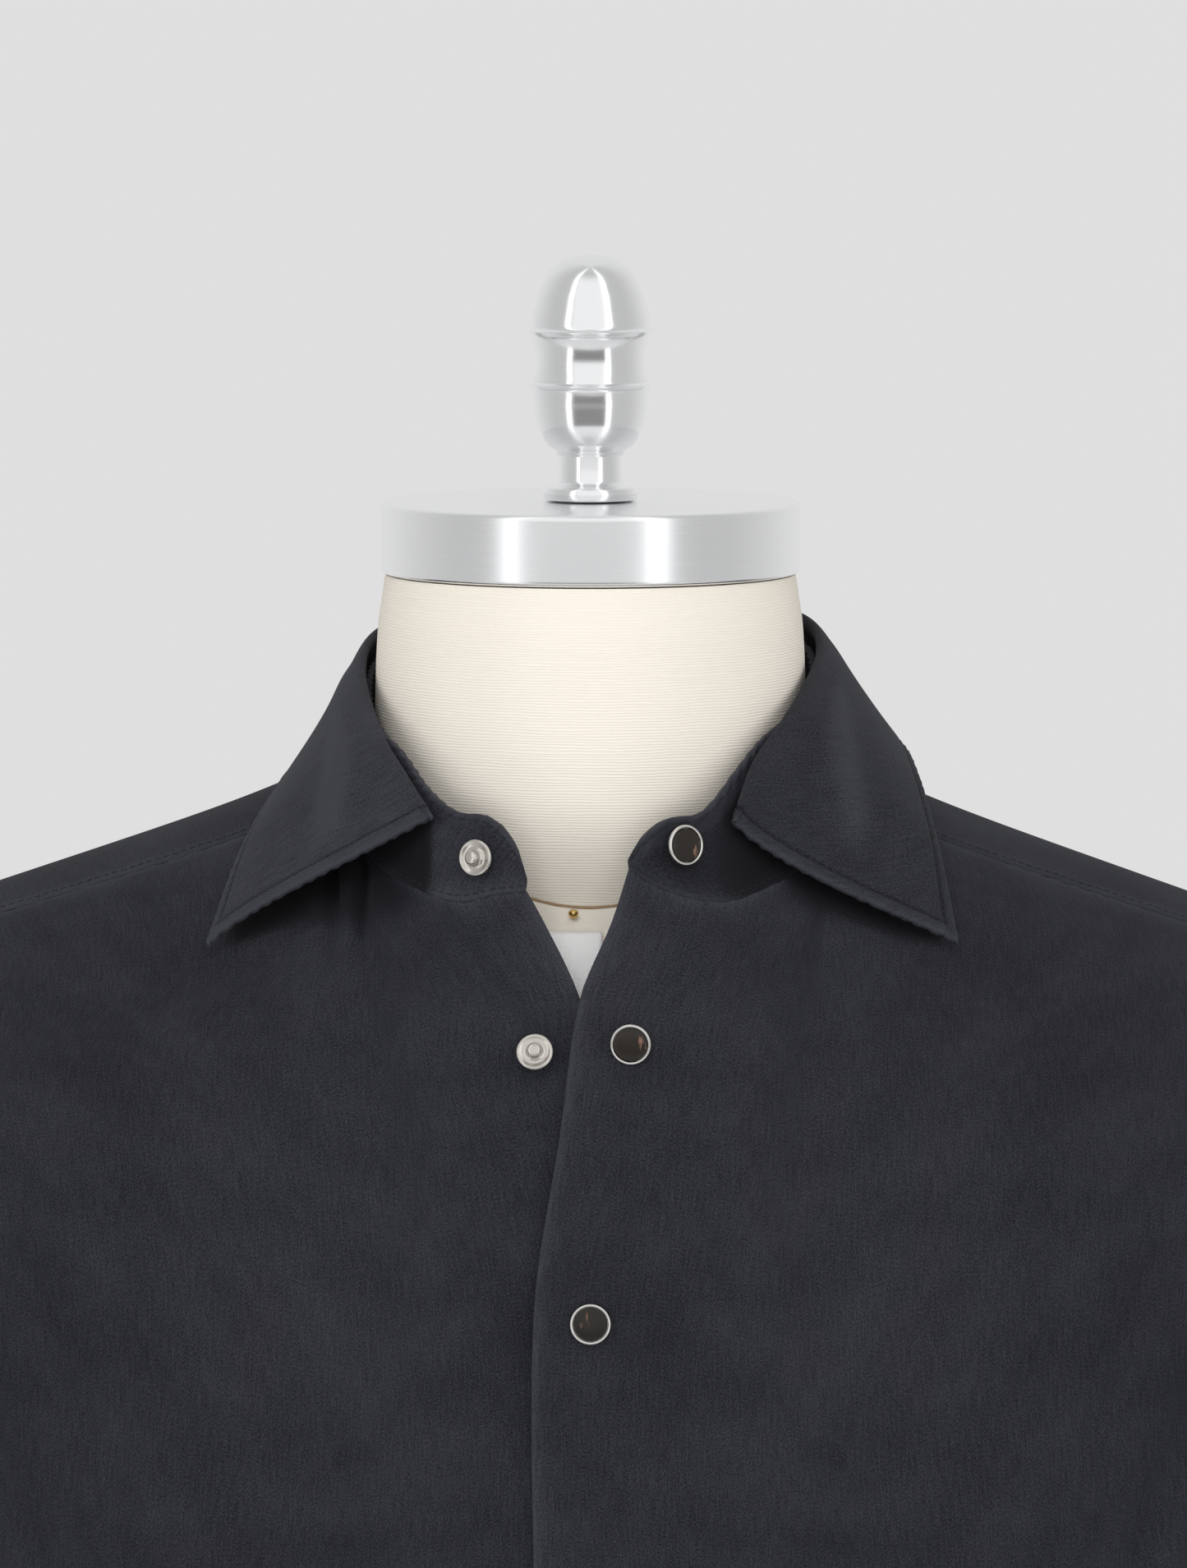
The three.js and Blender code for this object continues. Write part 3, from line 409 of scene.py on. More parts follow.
def cloth(name, p, finish, thick=CLOTH, flip=False, ring=False, gap=SEAM_GAP, normals=None, turned=0.45,
          wear_and_light_override=None, shaded=0.0):
    """A closed wall of cloth whose outer face is the grid p; its edges are turned in like a pressed fold."""
    left, _, low, _ = runs(p)
    if normals is None:
        normals = outward(p, flip, ring)
    edge = from_edge(p, ring)
    p = p - normals * (turned * np.clip(1 - edge / FOLD_EASE, 0, 1) ** 2)[..., None]
    pulled = p.copy()
    if gap:
        for j, k in ((0, 1), (-1, -2)):
            step = p[k] - p[j]
            pulled[j] += step / np.linalg.norm(step, axis=-1, keepdims=True) * gap
        if not ring:
            for i, k in ((0, 1), (-1, -2)):
                step = p[:, k] - p[:, i]
                pulled[:, i] += step / np.linalg.norm(step, axis=-1, keepdims=True) * gap
    inner = pulled - normals * thick
    rows, columns = p.shape[:2]
    index = np.arange(rows * columns).reshape(rows, columns)
    n = rows * columns
    sheet = closed_round(index) if ring else index
    walls = [quads(sheet), quads(sheet)[:, [0, 3, 2, 1]] + n, quads(np.stack([sheet[0] + n, sheet[0]])),
             quads(np.stack([sheet[-1], sheet[-1] + n]))]
    if not ring:
        first, last = index[:, 0], index[:, -1]
        walls += [quads(np.stack([first, first + n])), quads(np.stack([last + n, last]))]
    faces = np.concatenate(walls)
    if flip:
        faces = faces[:, ::-1]
    piece = new_piece(name + "_cloth", np.stack([pulled, inner]), faces.tolist(), finish)
    mesh = piece.data
    along = np.tile(np.stack([left, low], -1).reshape(-1, 2) * MM, (2, 1))
    loop_vertex = np.zeros(len(mesh.loops), np.int32)
    mesh.loops.foreach_get("vertex_index", loop_vertex)
    threads = mesh.uv_layers.new(name="threads")
    threads.data.foreach_set("uv", along[loop_vertex].astype(np.float32).ravel())
    # Real edge wear, or the given values with their painted light, less the painted shade; stored on the mesh.
    edge_wear_light_and_shade = (np.exp(-edge / WORN_EDGE) if wear_and_light_override is None else wear_and_light_override) - shaded
    wear_and_painted_light = mesh.attributes.new("wear_and_painted_light", "FLOAT", "POINT")
    wear_and_painted_light.data.foreach_set("value", np.tile(edge_wear_light_and_shade.ravel(), 2).astype(np.float32))
    return piece


FLOAT, COLOUR, VECTOR = "NodeSocketFloat", "NodeSocketColor", "NodeSocketVector"


def group_of(name, inputs, outputs):
    """An empty shader node group, what it is given as wires, and the sockets that it puts out."""
    group = bpy.data.node_groups.new(name, "ShaderNodeTree")
    for label, kind, value in inputs:
        group.interface.new_socket(label, in_out="INPUT", socket_type=kind).default_value = value
    for label, kind in outputs:
        group.interface.new_socket(label, in_out="OUTPUT", socket_type=kind)
    given = group.nodes.new("NodeGroupInput").outputs
    return (group, {label: Wire(group, given[label]) for label, _, _ in inputs},
            group.nodes.new("NodeGroupOutput").inputs)


def noise(where, scale, detail=3.0, rough=0.55):
    return placed(where.tree, "ShaderNodeTexNoise", Vector=where, Scale=scale, Detail=detail, Roughness=rough)


def stretched(where, scale, turned=(0, 0, 0)):
    return placed(where.tree, "ShaderNodeMapping", Vector=where, Scale=scale, Rotation=turned)


def mixed(factor, first, second):
    """Two colours mixed by a wire."""
    node = factor.tree.nodes.new("ShaderNodeMix")
    node.data_type = "RGBA"
    for socket, value in ((node.inputs[0], factor), (node.inputs[6], first), (node.inputs[7], second)):
        joined(factor.tree, value, socket)
    return Wire(factor.tree, node.outputs[2])


def object_space(tree):
    return placed(tree, "ShaderNodeTexCoord", "Object")


def covered(tree, group, strength, bump_mm, **inputs):
    """A finish group placed in a material, with its relief as a bump; its outputs as wires."""
    node = tree.nodes.new("ShaderNodeGroup")
    node.node_tree = group
    for socket, value in inputs.items():
        joined(tree, value, node.inputs[socket])
    bump = placed(tree, "ShaderNodeBump", Strength=strength, Distance=bump_mm * MM,
                  Height=node.outputs["Height"])
    joined(tree, bump, tree.nodes["Principled BSDF"].inputs["Normal"])
    return {output.name: Wire(tree, output) for output in node.outputs}


# Woven cotton: warp and weft threads, long slubs down the warp, and the cloudy shade of garment dye. Where the
# attribute is positive the dye fades, with real wear and with painted light on the collar leaf; where it is
# negative, under the collar and on its stand, the colour is mixed towards a near-black painted shade.
# Painted shade: the near-black colour that cloth under the collar and on its stand is mixed towards.
PAINTED_SHADE_COLOUR = (0.003, 0.003, 0.0038, 1)
weave, given, gives = group_of(
    "woven_cotton",
    [("Threads", VECTOR, (0, 0, 0)), ("Rubbed", FLOAT, 0), ("Dye", COLOUR, (0.03, 0.03, 0.04, 1)),
     ("Faded", COLOUR, (0.06, 0.06, 0.07, 1)), ("Pitch", FLOAT, 2600)],
    [("Colour", COLOUR), ("Roughness", FLOAT), ("Height", FLOAT)])
threads, wear_and_painted_light, pitch = given["Threads"], given["Rubbed"], given["Pitch"]
across_warp, along_warp, _ = axes(threads)
warp = maths("SINE", across_warp * (pitch * 6.2832))
weft = maths("SINE", (along_warp + across_warp * 0.5) * (pitch * 5.6))
slub = noise(stretched(threads, (1500, 120, 1)), 1.0, 4.0, 0.6)
fine = noise(stretched(threads, (2600, 1600, 1)), 1.0, 2.0, 0.5)
tone = slub * 1.1 + noise(threads, 34, 4.0, 0.6) * 0.7 + noise(threads, 9, 2.0, 0.5) * 0.5 + fine * 2.2 - 1.92
# Positive values lighten the tone (wear and painted light); negative ones darken it and mix in the painted shade.
tone = (tone + wear_and_painted_light * (slub + 0.25)).within(0.0, 1.0)
joined(weave, mixed((wear_and_painted_light * -0.7).within(0.0, 1.0), mixed(tone, given["Dye"], given["Faded"]), PAINTED_SHADE_COLOUR),
       gives["Colour"])
joined(weave, slub * 0.16 + 0.78, gives["Roughness"])
joined(weave, warp * 0.25 + weft * 0.25 + slub * 1.2 + fine * 0.8, gives["Height"])


def cloth_finish(name, dye, faded, pitch, bump_mm, sheen):
    finish, tree, shader = new_finish(name, Specular_IOR_Level=0.25, Sheen_Weight=sheen, Sheen_Roughness=0.45,
                                      Sheen_Tint=(0.75, 0.78, 0.9, 1))
    threads = tree.nodes.new("ShaderNodeUVMap")
    threads.uv_map = "threads"
    # The mesh attribute carries real wear, painted light and painted shade.
    wear_and_painted_light = tree.nodes.new("ShaderNodeAttribute")
    wear_and_painted_light.attribute_name = "wear_and_painted_light"
    cotton = covered(tree, weave, 0.6, bump_mm, Threads=threads.outputs[0], Rubbed=wear_and_painted_light.outputs["Fac"],
                     Dye=(*dye, 1), Faded=(*faded, 1), Pitch=pitch)
    joined(tree, cotton["Colour"], shader["Base Color"])
    joined(tree, cotton["Roughness"], shader["Roughness"])
    return finish


shirting = cloth_finish("dyed_cotton", (0.0078, 0.0081, 0.0110), (0.0400, 0.0412, 0.0505), 2600, 0.12, 0.03)


def inset(p, normals, edge, distance):
    """The line on a sheet this far in from one edge, with its outward directions."""
    if edge in ("left", "right"):
        p, normals = p.transpose(1, 0, 2), normals.transpose(1, 0, 2)
    if edge in ("high", "right"):
        p, normals = p[::-1], normals[::-1]
    run = np.cumsum(np.linalg.norm(np.diff(p, axis=0, prepend=p[:1]), axis=2), axis=0)
    row, column = np.argmax(run > distance, axis=0), np.arange(p.shape[1])
    share = (distance - run[row - 1, column]) / (run[row, column] - run[row - 1, column])
    return lerp(p[row - 1, column], p[row, column], share[:, None]), normals[row, column]


STITCH = (1.9, 0.38, 0.34)
bpy.ops.mesh.primitive_uv_sphere_add(segments=6, ring_count=4, radius=0.5, location=(0, 0, 0))
stitch_master = bpy.context.object
stitch_shape = np.array([corner.co for corner in stitch_master.data.vertices])[:, [2, 0, 1]] * STITCH
stitch_faces = [tuple(face.vertices) for face in stitch_master.data.polygons]
bpy.data.objects.remove(stitch_master)
thread, tree, shader = new_finish("sewing_thread", Roughness=0.6)
joined(tree, mixed(noise(object_space(tree), 300), (0.004, 0.004, 0.005, 1), (0.013, 0.013, 0.017, 1)),
       shader["Base Color"])


def stitches(name, *seams, pitch=2.7, skip=2.5, lift=0.1):
    """Rows of stitches in one mesh, each seam a line of points with their outward directions."""
    points, faces = [], []
    for line, outs in seams:
        run = np.concatenate([[0], np.cumsum(np.linalg.norm(np.diff(line, axis=0), axis=1))])
        for at in np.arange(skip, run[-1] - skip, pitch):
            here, ahead = (np.array([np.interp(d, run, line[:, k]) for k in range(3)])
                           for d in (at - 0.5, at + 0.5))
            out = outs[min(np.searchsorted(run, at), len(outs) - 1)]
            along = (ahead - here) / np.linalg.norm(ahead - here)
            across = np.cross(out, along)
            across /= np.linalg.norm(across)
            frame_of = np.stack([along, across, np.cross(along, across)])
            start = len(points) * len(stitch_shape)
            points.append((here + ahead) / 2 + out * lift + stitch_shape @ frame_of)
            faces += [tuple(i + start for i in face) for face in stitch_faces]
    return fitted(new_piece(name, np.concatenate(points), faces, thread), "cotton")


def gather(*flows):
    """Creases as (x, z) to (x, z), width and height in millimetres; a negative height is a furrow."""
    def read(x, z):
        lift = 0
        for x0, z0, x1, z1, width, height in flows:
            dx, dz = x1 - x0, z1 - z0
            length = math.hypot(dx, dz)
            t = ((x - x0) * dx + (z - z0) * dz) / length**2
            across = ((x - x0) * dz - (z - z0) * dx) / length
            fade = smooth(t / 0.3 + 0.5) * smooth((1 - t) / 0.3 + 0.5)
            lift = lift + height * np.exp(-((across / width) ** 2)) * fade
        return lift
    return read


ARM_ROWS_T = 1.35
LOW_SHARE = 7 / 16


def side_edge(hand, top, at, low_share=LOW_SHARE):
    """The side seam and then the armhole, as (q, z) at fractions of the rows."""
    at = np.asarray(at, float)
    low = lerp(HEM_SIDE, UNDERARM, at / low_share)
    high = lerp(UNDERARM, top, np.clip((at - low_share) / (1 - low_share), 0, 1) ** ARM_ROWS_T)
    z = np.where(at <= low_share, low, high)
    return np.stack([np.where(z <= UNDERARM, hand, q_of(hand * armhole_x(z), z)), z], -1)


def tip_z(hand):
    return float(on_arch(armhole_at_arch(hand, FRONT_SEAM_ARCH), FRONT_SEAM_ARCH)[2])


def hem_z(q):
    return lerp(HEM_FRONT, HEM_SIDE, smooth((np.abs(q) - 0.35) / 0.65))


def front_neck(hand):
    rise = 1.5 if hand < 0 else 8
    edge = float((right_edge_x if hand < 0 else left_edge_x)(NECK_SEAM_Z + rise))
    seam_z = float(on_arch(np.float64(hand * NECK_POINT_X), FRONT_SEAM_ARCH)[2])
    return np.array([(edge, NECK_SEAM_Z + rise), (edge + hand * 9, NECK_SEAM_Z + rise * 0.3),
                     (hand * 38, NECK_SEAM_Z - 2), (hand * 52, NECK_SEAM_Z + 1.5), (hand * 64, NECK_SEAM_Z + 8),
                     (hand * NECK_POINT_X, seam_z)])


ROW_AT = ramp(150, 760)
EDGE_CALM, HEM_TURN = 14, 7
front_creases = {
    -1: gather((-81, 779, -80, 753, 2.2, 2.2), (-76, 779, -75, 750, 1.9, -2.4), (-71, 779, -71, 748, 2.0, 2.6),
               (-66, 778, -67, 752, 1.8, -2.4), (-61.5, 777, -63, 755, 1.9, 2.0), (-56, 776, -58, 757, 1.8, -1.8),
               (-46, 764, -16, 722, 4.5, 2.6), (-37, 764, -6, 722, 4.5, -2.2),
               (-150, 575, -116, 590, 7, 1.6), (-140, 560, -108, 572, 6, -1.5), (-185, 560, -120, 520, 12, 2.4),
               (-178, 600, -150, 560, 6, -1.2)),
    1: gather((181, 622, 152, 556, 5, -2.0), (188, 612, 166, 556, 5, 2.2), (196, 590, 178, 540, 5, -1.6),
              (62, 772, 72, 742, 4, -0.8), (185, 560, 120, 515, 12, 2.0), (10, 745, 40, 715, 7, -0.7)),
}


def front_sheet(hand):
    edge_x = right_edge_x if hand < 0 else left_edge_x
    arm_x = float(armhole_at_arch(hand, FRONT_SEAM_ARCH))
    side = side_edge(hand, tip_z(hand), ROW_AT)
    neck = smooth_line(front_neck(hand), at=ramp(52, 70)[:-1])
    shoulder_x = lerp(hand * NECK_POINT_X, arm_x, ramp(56, 150))
    shoulder = np.stack([shoulder_x, on_arch(shoulder_x, np.full(57, FRONT_SEAM_ARCH))[:, 2]], -1)
    top_xz = np.concatenate([neck, shoulder])
    top = np.stack([q_of(top_xz[:, 0], top_xz[:, 1]), top_xz[:, 1]], -1)
    edge_z = lerp(HEM_FRONT, neck[0, 1], (side[:, 1] - HEM_SIDE) / (tip_z(hand) - HEM_SIDE))
    edge = np.stack([q_of(edge_x(edge_z), edge_z), edge_z], -1)
    t = np.concatenate([ramp(52, 70)[:-1] * 0.5, 0.5 + ramp(56, 150) * 0.5])
    q = lerp(edge[0, 0], hand, lerp(t, t**1.5, 0.6))
    return fill(np.stack([q, hem_z(q)], -1), top, edge, side)


def tucked(p):
    """The right front steps in behind the left one along the lap."""
    return p + xyz(0, 3.2 * smooth((p[..., 0] - left_edge_x(p[..., 2]) + 26) / 20), 0)


# How far the painted shadow reaches below each leaf's lower edge, by distance from the middle.
right_shadow_reach = curve((40, 26), (60, 24), (85, 9), (112, 3))
left_shadow_reach = curve((40, 15), (60, 13), (85, 6), (108, 2))


def painted_collar_shadow(x, z):
    """Painted shadow of the collar on the fronts: 0 clear of it, 1 well under it."""
    a = np.abs(x)
    reach = np.where(x < 0, right_shadow_reach(a), left_shadow_reach(a))
    share = (a - 42) / 69
    lower = lerp(789, 751.5, share) - np.where(x < 0, 2.6, 6.4) * np.sin(np.pi * np.clip(share, 0, 1))
    outer = curve((745, 108), (752, 107), (777, 100), (793, 95))(z)
    return 1.35 * smooth((z - lower + reach) / reach) * smooth((outer - a) / 5)


for hand, name in ((-1, "front_right"), (1, "front_left")):
    sheet = front_sheet(hand)
    q, z = sheet[..., 0], sheet[..., 1]
    p = body(q, z, -1)
    normals = body_out(q, z, -1)
    if hand < 0:
        p = tucked(p)
    left, _, _, high = runs(p)
    calm = smooth(from_edge(p) / EDGE_CALM)
    lift = front_creases[hand](p[..., 0], p[..., 2]) * calm
    puckers = 0.22 * np.sin(p[..., 0] * 1.1) * np.exp(-high / 3) * smooth((p[..., 2] - 650) / 40)
    folded = -0.35 * np.exp(-((left - 2.0) / 0.8) ** 2) * (0.3 if hand < 0 else 0.5)
    p = p + normals * (lift + puckers + folded)[..., None]
    # The fronts carry the collar's painted shadow.
    piece = cloth(name, p, shirting, flip=hand < 0, normals=normals, shaded=painted_collar_shadow(p[..., 0], p[..., 2]))
    fitted(piece, "cotton", name)
    hem = stitches(name + "_hem_stitches", inset(p, normals, "low", HEM_TURN))

# ------------------------------------------------------------------ the back
# One plain panel of the same cotton, from the shirt-tail hem to the yoke seam, between the side seams. Its hem is
# turned up and stitched, and its big creases are soft ones from wear.
BACK_LOW_SHARE = 7 / 15
side_right, side_left = (side_edge(hand, YOKE_BACK_Z, ROW_AT, BACK_LOW_SHARE) for hand in (-1, 1))
across = ramp(110, 640)
q = lerp(-1, 1, across)
bottom = np.stack([q, hem_z(q)], -1)
q_top = lerp(side_right[-1, 0], side_left[-1, 0], across)
sheet = fill(bottom, np.stack([q_top, np.full_like(q_top, YOKE_BACK_Z)], -1), side_right, side_left)
back_normals = body_out(sheet[..., 0], sheet[..., 1], 1)
back_points = body(sheet[..., 0], sheet[..., 1], 1)
back_creases = gather((-150, 640, -60, 560, 16, 2.2), (150, 640, 70, 550, 16, 2.0), (-120, 560, 20, 470, 20, 1.8),
                      (110, 520, -10, 430, 20, -1.6), (-40, 700, -30, 560, 9, 1.2), (46, 700, 40, 570, 9, -1.2))
calm = smooth(from_edge(back_points) / EDGE_CALM)
lift = back_creases(back_points[..., 0], back_points[..., 2]) * calm
back_points = back_points + back_normals * lift[..., None]
back = cloth("back", back_points, shirting, flip=True, normals=back_normals)
fitted(back, "cotton", "back")
back_hem = stitches("back_hem_stitches", inset(back_points, back_normals, "low", HEM_TURN))

# ------------------------------------------------------------------ the yoke
# One shaped piece of the same cotton over both shoulders, seamed to the back behind and to each front just below
# the ridge, and topstitched beside both seams.
YOKE_ROWS, TOPSTITCH, BACK_NECK_DEEP = ramp(56, 120), 2.2, 64


def back_neck(hand, at):
    """The neckline behind the ridge: an ellipse in plan, as (x, arch)."""
    angle = np.asarray(at) * math.pi / 2
    x = hand * (NECK_POINT_X + 1.5) * np.cos(angle)
    y = RIDGE_Y + BACK_NECK_DEEP * np.sin(angle)
    depth = np.abs(body(q_of(x, CHEST), np.full_like(x, CHEST), 1)[..., 1])
    share = np.clip(np.abs(y - RIDGE_Y) / depth, 0, 1)
    return np.stack([x, np.degrees(np.arcsin(share ** (ARCH_Y / 2)))], -1)


def yoke_side(hand):
    low = float(arch_at(np.float64(hand * armhole_x(YOKE_BACK_Z)), YOKE_BACK_Z))
    arches = np.interp(YOKE_ROWS, [0, 4 / 6, 1], [low, 0, FRONT_SEAM_ARCH])
    return np.stack([armhole_at_arch(hand, arches), arches], -1)


def yoke_half(hand):
    seam_x = lerp(float(armhole_at_arch(hand, FRONT_SEAM_ARCH)), hand * NECK_POINT_X, ramp(46, 150))
    neck = np.concatenate([[[hand * NECK_POINT_X, FRONT_SEAM_ARCH]], back_neck(hand, np.linspace(0, 1, 24))])
    neck = np.stack([np.interp(np.linspace(0, 1, 40), np.linspace(0, 1, 25), neck[:, k]) for k in (0, 1)], -1)
    return np.concatenate([np.stack([seam_x, np.full_like(seam_x, FRONT_SEAM_ARCH)], -1)[:-1], neck])


sides = yoke_side(-1), yoke_side(1)
top = np.concatenate([yoke_half(-1), yoke_half(1)[-2::-1]])
bottom_x = lerp(sides[0][0, 0], sides[1][0, 0], np.linspace(0, 1, len(top)))
sheet = fill(np.stack([bottom_x, arch_at(bottom_x, YOKE_BACK_Z)], -1), top, *sides)
yoke_points = on_arch(sheet[..., 0], sheet[..., 1])
yoke_normals = np.cross(on_arch(sheet[..., 0] + 1, sheet[..., 1]) - on_arch(sheet[..., 0] - 1, sheet[..., 1]),
                        on_arch(sheet[..., 0], sheet[..., 1] + 1) - on_arch(sheet[..., 0], sheet[..., 1] - 1))
yoke_normals /= np.linalg.norm(yoke_normals, axis=-1, keepdims=True)
high = runs(yoke_points)[3]
puckers = 0.25 * np.sin(yoke_points[..., 0] * 1.2 + 1) * np.exp(-high / 3.5)
ridges = 0.35 * np.exp(-((high - TOPSTITCH) / 1.2) ** 2) * smooth((np.abs(yoke_points[..., 0]) - 78) / 10)
yoke_points = yoke_points + yoke_normals * (puckers + ridges)[..., None]
yoke = cloth("yoke", yoke_points, shirting, flip=True, normals=yoke_normals)
fitted(yoke, "cotton", "yoke")
line, outs = inset(yoke_points, yoke_normals, "high", TOPSTITCH)
past_collar = line[:, 0] < -79, line[:, 0] > 79
yoke_rows = stitches("yoke_stitches", *((line[side], outs[side]) for side in past_collar),
                     inset(yoke_points, yoke_normals, "low", TOPSTITCH))

# ------------------------------------------------------------------ the collar stand
# An interlined band of the same cotton, sewn round the neckline and topstitched along both edges. Its rounded
# ends carry the top snap.
BAND, BAND_STEPS, ROUND_END = 1.8, 34, 1.4
FOLD = {-1: [(-46.4, -75, 789), (-53.6, -63, 799.6), (-59.3, -52, 807.5), (-64.6, -32, 817), (-67.8, 2, 828),
             (-63.5, 34, 835), (-44, 64, 841), (0, 77.5, 843)],
        1: [(42.2, -75.5, 788), (47.5, -61, 803), (56.6, -44.2, 814.6), (63.2, -24, 823), (68.2, 6, 832),
            (64.5, 36, 838.5), (44.5, 64, 842), (0, 77.5, 843)]}
EDGE = {-1: [(-112.8, -74, 751.4), (-104, -46, 775), (-95.5, -18, 789), (-88, 12, 796), (-76, 46, 797),
             (-49, 82, 796), (0, 97, 796)],
        1: [(108, -74, 752), (103.2, -46, 777), (98.8, -18, 793), (94.5, 10, 801), (84.5, 46, 802), (53, 82, 799),
            (0, 97, 796)]}
STAND_TOP = {-1: [(-19, -92, 790.5), (-30, -85, 791.4), (-40.5, -77, 791.6), (-49.5, -66, 797.6),
                  (-58, -49, 808), (-63.6, -31, 813.5), (-66.6, 2, 822), (-62.6, 33, 829), (-43.3, 63, 835),
                  (0, 76.3, 837)],
             1: [(11, -92, 789.5), (22, -85.5, 790.6), (33, -77, 791.2), (44.4, -62, 802.5), (53, -46.5, 812),
                 (62.1, -23.5, 818), (67, 6, 826), (63.5, 35.4, 832.5), (43.8, 63, 836), (0, 76.3, 837)]}


def both(halves):
    return np.array([*halves[-1], *halves[1][-2::-1]], float)


def seam_line(hand):
    neck = front_neck(hand)
    front = body(q_of(neck[:, 0], neck[:, 1]), neck[:, 1], -1)
    behind = back_neck(hand, np.linspace(0, 1, 5))
    return np.concatenate([front, on_arch(behind[:, 0], behind[:, 1])])


STAND_AT = ramp(360, 400, (0.7, 1.5, 2.5, 3.7, 5, 6.5, 8, 9.6, 11.3, 13))
neck_line = smooth_line(np.concatenate([seam_line(-1), seam_line(1)[-2::-1]]), at=STAND_AT)
stand_top = smooth_line(both(STAND_TOP), at=STAND_AT)
v = ramp(24, 26, (0.6, 1.4, 2.4))[:, None]
from_end = np.minimum(STAND_AT, 1 - STAND_AT) * BAND_STEPS / ROUND_END
height = v * np.sqrt(1 - (1 - np.clip(from_end, 0, 1)) ** 2 * 0.97)
stand_points = lerp(neck_line[None], stand_top[None], height[..., None]) - xyz(0, 0, 0.9)
ease = v * lerp(-1.8, 0.7, smooth((stand_points[..., 1] + 58) / 20))
away = stand_points * (1, 1, 0)
stand_points = stand_points + away / np.linalg.norm(away, axis=-1, keepdims=True) * ease[..., None]
left, right, low, high = runs(stand_points)
stand_normals = outward(stand_points, True)
stand_points = stand_points + stand_normals * (0.9 * smooth((7 - low) / 6))[..., None]
strip = 0.4 * np.sin(left * 1.3 + low * 0.9) * smooth((6 - high) / 4)
strip = strip * smooth((left - 12) / 8) * smooth((right - 12) / 8)
stitched = strip - 0.22 * np.exp(-((np.minimum(low, high) - TOPSTITCH) / 0.55) ** 2)
stand_points = stand_points + stand_normals * stitched[..., None]
# Painted shade and light on the front of the band, more than 5 mm below its top edge: dark where the leaf's ends
# lie over it (past x = -45, and growing from x = 34), a little darker over the rest of the positive-x half, and
# painted lighter over the rest of the negative-x half.
painted_stand_shade_x = np.where(stand_points[..., 0] < 0, 1.5 * smooth((-45 - stand_points[..., 0]) / 4) - 0.3,
                    0.25 + 1.1 * smooth((stand_points[..., 0] - 34) / 16))
painted_stand_shade = painted_stand_shade_x * smooth((high - 5) / 3)
collar_stand = cloth("collar_stand", stand_points, shirting, thick=BAND, flip=True, gap=0.3, turned=0.6,
                     normals=stand_normals, shaded=painted_stand_shade * smooth((stand_points[..., 1] + 40) / -10))
fitted(collar_stand, "cotton", "collar_stand")
stand_rows = stitches("stand_stitches", *(inset(stand_points, stand_normals, edge, TOPSTITCH)
                                          for edge in ("high", "low")))

# ------------------------------------------------------------------ the collar
# A pointed leaf of two layers, turned over the stand and stitched 4 mm in from its edges. Its two front ends sag
# a little between the fold and the points.
LEAF_WALL, LEAF_STITCH, POINT_LEAN = 1.44, 4.1, 0.86
LEAF_AT = ramp(300, 430, (0.6, 1.3, 2.2, 3.2, 4.0, 4.5, 5.0, 5.6, 6.6, 8))
fold_line = smooth_line(both(FOLD), at=LEAF_AT)
leaf_edge = smooth_line(both(EDGE), at=LEAF_AT)
out = leaf_edge - fold_line
out[:, 2] = 0
out /= np.linalg.norm(out, axis=1, keepdims=True)
turned_line = fold_line + out * 0.6
drop = (turned_line - leaf_edge)[:, 2:]
bend = turned_line + out * 4 + xyz(0, 0, 1.5)
hang = leaf_edge - out * 9 + np.concatenate([np.zeros((len(drop), 2)), drop * 0.42], 1)
w = ramp(54, 55, (0.6, 1.3, 2.2, 3.2, 4.0, 4.5, 5.0, 5.6, 6.6))[1:, None, None]
leaf_rows = ((1 - w) ** 3 * turned_line + 3 * (1 - w) ** 2 * w * bend + 3 * (1 - w) * w**2 * hang
             + w**3 * leaf_edge)
fold_length = np.cumsum(np.linalg.norm(np.diff(fold_line, axis=0, prepend=fold_line[:1]), axis=1))
under_fold = lerp(0.15, 1, smooth(np.minimum(fold_length, fold_length[-1] - fold_length) / 16))[:, None]
tops = np.stack([fold_line - out * 0.8 + xyz(0, 0, -4) * under_fold,
                 fold_line - out * 0.9 + xyz(0, 0, -1.6) * under_fold,
                 fold_line - out * 0.3 + xyz(0, 0, -0.25), turned_line])
leaf_points = np.concatenate([tops, leaf_rows])
w = np.concatenate([np.zeros((4, 1)), w[:, :, 0]])
for hand, bow, run in ((-1, 3.2, runs(leaf_points)[0]), (1, 7.5, runs(leaf_points)[1])):
    sag = bow * np.sin(np.pi * w) * smooth(1 - run / 42)
    leaf_points = leaf_points + xyz(-0.47 * hand, 0, -0.88) * sag[..., None]
left, right, low, high = runs(leaf_points)
leaf_normals = outward(leaf_points, False)
point_edge = np.minimum(left, right) * POINT_LEAN
sewn = np.minimum(point_edge, high)
fold_run = low - low[3]
folds = gather((-70, 826, -80, 762, 4.0, 2.0), (-64, 812, -70, 772, 4, -1.2), (67, 838, 79, 780, 4, 1.8),
               (62, 818, 68, 780, 4, -0.7))
soft = folds(leaf_points[..., 0], leaf_points[..., 2]) * smooth((sewn - 6) / 8) * smooth((fold_run - 6) / 8)
groove = -0.45 * np.exp(-((sewn - LEAF_STITCH) / 0.7) ** 2)
along = np.where(point_edge < high, high, left)
edge_band = smooth((4.6 - sewn) / 2) * smooth((sewn + 0.4) / 1.6)
puckers = 0.2 * np.sin(along * 1.35 + 0.8 * np.sin(along * 0.31)) * edge_band
leaf_points = leaf_points + leaf_normals * ((groove + puckers + soft) * (low > low[3] - 0.1))[..., None]
